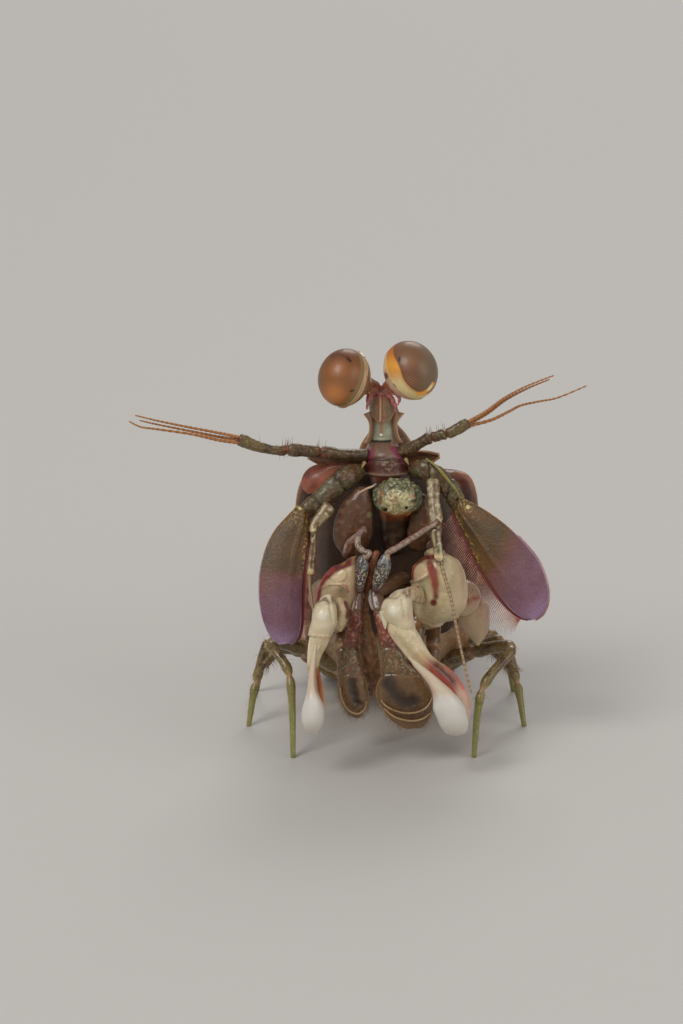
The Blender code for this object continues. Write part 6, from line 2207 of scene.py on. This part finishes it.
# %% Maxillipeds
MAXILLIPEDS = {
    RIGHT: {
        1: [(358, 558.5, 366.5, 557.5, -4.6, 0.36), (355.4, 564, 368.6, 564, -4.7, 0.5),
            (354.8, 573, 367.6, 574, -4.8, 0.5), (355, 582, 365.4, 583, -4.85, 0.44),
            (356.4, 589, 363.4, 590, -4.9, 0.34)],
        3: [(356, 594, 363, 593.5, -4.4, 0.36), (352.5, 604, 363.4, 605, -4.7, 0.46),
            (349.5, 618, 363, 620, -5.2, 0.5), (346.4, 631, 360.4, 634, -5.6, 0.5),
            (343.6, 644, 357.4, 647, -5.9, 0.45), (342, 653, 358.4, 655, -6.0, 0.46),
            (340, 665, 361, 665, -6.1, 0.5), (338.2, 679, 366, 680, -6.2, 0.55),
            (338.8, 694, 368.4, 696, -6.25, 0.52), (343, 707, 366, 709, -6.3, 0.4),
            (350.4, 715, 360.6, 716.4, -6.3, 0.25)],
    },
    LEFT: {
        1: [(380.6, 557, 390, 557.6, -4.6, 0.36), (377.4, 562.4, 391.2, 567, -4.7, 0.5),
            (374.6, 571, 388, 577, -4.8, 0.5), (372.6, 579.4, 383.6, 585, -4.85, 0.44),
            (372, 586.6, 379.4, 591, -4.9, 0.32)],
        3: [(369, 593, 379, 591.5, -4.4, 0.36), (368.6, 602, 385, 599, -4.7, 0.5),
            (372.5, 613, 387, 611, -5.2, 0.5), (376.6, 627, 391, 626, -5.7, 0.5),
            (379.4, 640, 397, 638.5, -6.0, 0.48), (382.4, 652, 400, 649.5, -6.1, 0.45),
            (384, 663, 405, 659.5, -6.2, 0.46), (381.6, 674, 413, 667.5, -6.3, 0.5),
            (376.5, 686, 425, 678, -6.35, 0.55), (376.4, 698, 432, 691.5, -6.4, 0.52),
            (382.5, 710, 433.4, 705.5, -6.4, 0.46), (391, 720.6, 430.4, 717.4, -6.4, 0.36),
            (402, 727, 423, 726.4, -6.4, 0.24)],
    },
}
ROOT_LINES = {
    RIGHT: {
        1: [(-2.6, 3.8, 16.0), (-3.2, 0.0, 16.0), (-3.0, -2.4, 17.4)],
        3: [(-2.2, 4.0, 12.4), (-2.0, -1.5, 14.2)],
    },
    LEFT: {
        1: [(2.8, 3.8, 16.0), (3.7, 0.2, 16.6), (3.9, -1.6, 18.6)],
        3: [(1.6, 4.0, 12.4), (1.0, -1.5, 14.2)],
    },
}
ROOT_ENDS = {
    RIGHT: {1: (364, 531, -2.8), 3: (359, 596, -4.3)},
    LEFT: {1: (436, 523, -2.4), 3: (375, 594, -4.3)},
}
UPPER_ARMS = {
    RIGHT: ([(364, 528.5, -2.8), (359.5, 533, -3.2), (357.4, 540, -3.6), (359, 547, -4.0),
             (364.5, 551.8, -4.3), (369.5, 552.8, -4.5), (365, 559, -4.6)],
            [0.2, 0.25, 0.27, 0.26, 0.24, 0.22, 0.22]),
    LEFT: ([(436, 523, -2.4), (424, 530.4, -2.9), (410, 539.4, -3.4), (397, 547.6, -3.9),
            (388.6, 552.2, -4.3), (386, 558, -4.6)],
           [0.22, 0.23, 0.25, 0.26, 0.26, 0.22]),
}
FINGERS = {
    RIGHT: [((340, 688, -6.6), (342, 699, -6.8), (348, 709.4, -6.9), (356.5, 713.6, -6.95),
             (363.6, 710.4, -6.9), (366.8, 702, -6.8))],
    LEFT: [((380.4, 700, -6.6), (388.6, 707.6, -6.9), (402, 712.6, -7.0), (416, 712.4, -7.0),
            (427, 707, -6.9), (432, 698, -6.7)),
           ((384.5, 709, -6.6), (394, 716.4, -6.8), (408, 720.6, -6.9), (421, 719.4, -6.85),
            (430, 713.6, -6.7))],
}
HAND_MIDDLES = {RIGHT: (353.5, 694), LEFT: (400, 694)}
HAND_SEAMS = (612.0, 648.0, 674.0)
FINGER_HAIR = 0.026
SLOTS_IN_HANDS = {
    RIGHT: ([(352, 682), (354, 694), (357, 703)], 7.0),
    LEFT: ([(388, 682), (395, 694), (404, 702), (414, 702)], 11.0),
}
print("hands are drawn with", len(MAXILLIPEDS[LEFT][3]), "rows")

# %% [markdown]
# ## Colours of the feeding limbs
# Blue black articles with metal specks, a red brown arm, a mottled wrist and a tan hand follow one another
# along these limbs, so the rules fade from one to the next by height.

# %% Colours of the feeding limbs


def silver_wash(co, way):
    """Blue black with gold and white grains below, silver above and purple brown at the end."""
    top, end = 1 - ease(way[0], 0.3, 0.5), ease(way[0], 0.78, 0.92)
    return [
        (tone(54, 52, 54), 0.95),
        (tone(128, 130, 128), 0.85 * top * ease(way[2], -0.2, 0.5) * ease(cloud(co, 2.2), -0.35, 0.2)),
        (tone(196, 172, 124), 0.9 * ease(cloud(co, 7.0, 3.0), 0.14, 0.3) * (1 - 0.8 * top)),
        (tone(206, 206, 200), 0.8 * ease(cloud(co, 9.0, 8.0), 0.26, 0.4) * (1 - 0.5 * top)),
        (tone(92, 58, 60), 0.8 * end),
        (tone(196, 160, 110), 0.9 * (1 - ease(way[0], 0.06, 0.14)) * ease(way[1], 0.0, 0.6)),
    ]


def arm_wash(co, way):
    """Silver pink above and red brown beneath."""
    grain = ease(cloud(co, 3.0), -0.1, 0.3)
    return [(tone(126, 100, 88), 0.9), (tone(176, 160, 148), 0.6 * grain * ease(co.z, 14.0, 16.0)),
            (tone(120, 58, 40), 0.85 * ease(-way[2] if abs(way[2]) > abs(way[1]) else way[1], 0.2, 0.7)),
            (tone(196, 176, 156), 0.6 * ease(cloud(co, 7.0, 2.0), 0.2, 0.4))]


def hand_wash(side):
    """Silver edged lobes, a red arm, a mottled wrist and a tan glassy hand with a dark slot."""
    slot, reach = SLOTS_IN_HANDS[side]

    def rule(co, way):
        at = seen(co)
        ink = ease(way[3], -0.1, 0.2)
        upper, arm = 1 - ease(at.y, 606, 616), ease(at.y, 608, 618) * (1 - ease(at.y, 642, 654))
        wrist, hand = ease(at.y, 642, 652) * (1 - ease(at.y, 672, 682)), ease(at.y, 672, 684)
        mottle = ease(cloud(co, 2.4), -0.2, 0.15)
        return [
            (tone(122, 90, 54), 0.9),
            (tone(104, 74, 58), 0.8 * upper),
            (tone(206, 196, 186), 0.9 * upper * ease(-way[1], 0.55, 0.85)),
            (tone(138, 66, 48), 0.9 * arm),
            (tone(88, 38, 34), 0.7 * arm * ease(cloud(co, 2.2), -0.05, 0.35)),
            (tone(196, 150, 126), 0.6 * arm * ease(cloud(co, 4.4, 2.0), 0.12, 0.4)),
            (tone(100, 96, 70), 0.75 * wrist * mottle),
            (tone(176, 160, 122), 0.5 * wrist * ease(cloud(co, 5.6, 2.0), 0.05, 0.4)),
            (tone(132, 76, 66), 0.55 * wrist * ease(cloud(co, 3.0, 7.0), 0.1, 0.4)),
            (tone(112, 84, 50), 0.7 * hand * ease(abs(way[1]), 0.55, 0.9)),
            (tone(104, 74, 42), 0.5 * hand * (1 - ease(abs(way[1]), 0.2, 0.7))),
            (tone(50, 33, 20), 0.95 * ink * streak(at, slot, reach * (1.1 + 0.4 * cloud(co, 2.6)), 0.9)),
            (tone(186, 156, 104), 0.8 * hand * ease(abs(way[1]), 0.93, 0.99)),
        ]
    return rule


def rear_hand_wash(co, way):
    """Tan and dim, for the hands behind."""
    return [(tone(118, 84, 52), 0.8), (tone(84, 54, 36), 0.7 * ease(cloud(co, 1.5), 0.0, 0.35)),
            (tone(150, 122, 80), 0.6 * ease(way[0], 0.75, 0.95))]


print("hand seams:", HAND_SEAMS)


# %% [markdown]
# ## Building the feeding limbs
# The front pairs are drawn from the photograph. The two rear pairs hardly show, so they are plain jointed
# limbs. Hooked fingers and stiff bristles finish the hands.

# %% Building the feeding limbs


REAR_LIMBS = {
    4: ([(1.9, 4.0, 10.8), (2.6, -0.6, 12.2), (2.3, -2.9, 10.8), (2.2, -3.9, 8.6), (2.2, -4.3, 6.2),
         (2.0, -4.4, 4.5)],
        [(0.55, 0.55), (0.6, 0.55), (0.6, 0.5), (0.7, 0.45), (0.95, 0.45), (0.4, 0.28)]),
    5: ([(2.0, 4.2, 9.2), (3.6, 0.6, 10.2), (3.6, -1.4, 8.6), (3.3, -2.2, 6.4), (3.0, -2.5, 4.4),
         (2.9, -2.5, 3.3)],
        [(0.5, 0.5), (0.55, 0.5), (0.55, 0.45), (0.7, 0.42), (0.8, 0.42), (0.4, 0.28)]),
}
for side in (LEFT, RIGHT):
    tag = TAGS[side]
    root = limb([*ROOT_LINES[side][1], spot(*ROOT_ENDS[side][1])],
                [(0.42, 0.42), (0.4, 0.4), (0.36, 0.36), (0.25, 0.25)],
                sides=20, spans=8)
    points, radii = UPPER_ARMS[side]
    arm = push(traced(points, radii, sides=24, spans=12), lambda co, way: 0.02 * cloud(co, 4.0))
    block = push(drawn(MAXILLIPEDS[side][1], sides=64, spans=16), lambda co, way: 0.025 * cloud(co, 5.0))
    piece("feeding_maxilliped_1_" + tag, joined(paint(root, arm_wash), paint(arm, arm_wash),
                                                paint(block, silver_wash)),
          "hand", "maxilliped_1_" + tag)

    root = limb([*ROOT_LINES[side][3], spot(*ROOT_ENDS[side][3])], [(0.6, 0.6), (0.62, 0.55), (0.5, 0.4)],
                sides=20, spans=8)
    hand = drawn(MAXILLIPEDS[side][3], sides=88, spans=16)

    def hand_relief(co, way):
        """Seams between the articles, a hollow slot and rough skin on the wrist."""
        at = seen(co)
        slot, reach = SLOTS_IN_HANDS[side]
        seams = sum(hump(at.y - seam, 1.4) for seam in HAND_SEAMS)
        hollow = streak(at, slot, reach, 1.0) * ease(way[3], 0.0, 0.4)
        return 0.05 * cloud(co, 2.2) - 0.12 * min(seams, 1.0) - 0.22 * hollow

    push(hand, hand_relief)
    parts = [paint(root, rear_hand_wash), paint(hand, hand_wash(side))]
    for finger in FINGERS[side]:
        radii = [0.06] + [0.085] * (len(finger) - 2) + [0.04]
        parts.append(paint(traced(finger, radii, sides=16, spans=12),
                           lambda co, way: [(tone(168, 136, 92), 0.9),
                                            (tone(206, 184, 140), 0.6 * ease(way[2], 0.0, 0.8))]))
        row = smooth_row([Vector(point) for point in finger], 14)
        for index, (x, y, depth) in enumerate(row[4:-4]):
            inward = spot(*HAND_MIDDLES[side], depth - 0.9) - spot(x, y, depth)
            bristles.append((spot(x, y, depth), inward + Vector((random.uniform(-0.5, 0.5), 0, 0)),
                             (0, -1, 0.4),
                             random.uniform(0.6, 1.3), FINGER_HAIR, 0.5, index / len(row)))
    bristles += rooted(hand, lambda co, way: abs(way[1]) > 0.9 and way[0] > 0.3, 0.55, 0.015,
                       lie=(0, -0.6, -0.4), share=0.16)
    piece("feeding_maxilliped_3_" + tag, joined(*parts), "hand", "maxilliped_3_" + tag)

    for number, (path, sizes) in REAR_LIMBS.items():
        made = jointed([(side * x, y, z) for x, y, z in path], sizes, wash=rear_hand_wash,
                       sides=28, pinch=0.25)
        bristles += rooted(made, lambda co, way: way[0] > 0.6 and abs(way[1]) > 0.8, 0.5, 0.015, share=0.12)
        name = "maxilliped_%d_%s" % (number, tag)
        piece("feeding_" + name, made, "hand", name)
hairs("bristle_coat", "bristle", bristles)
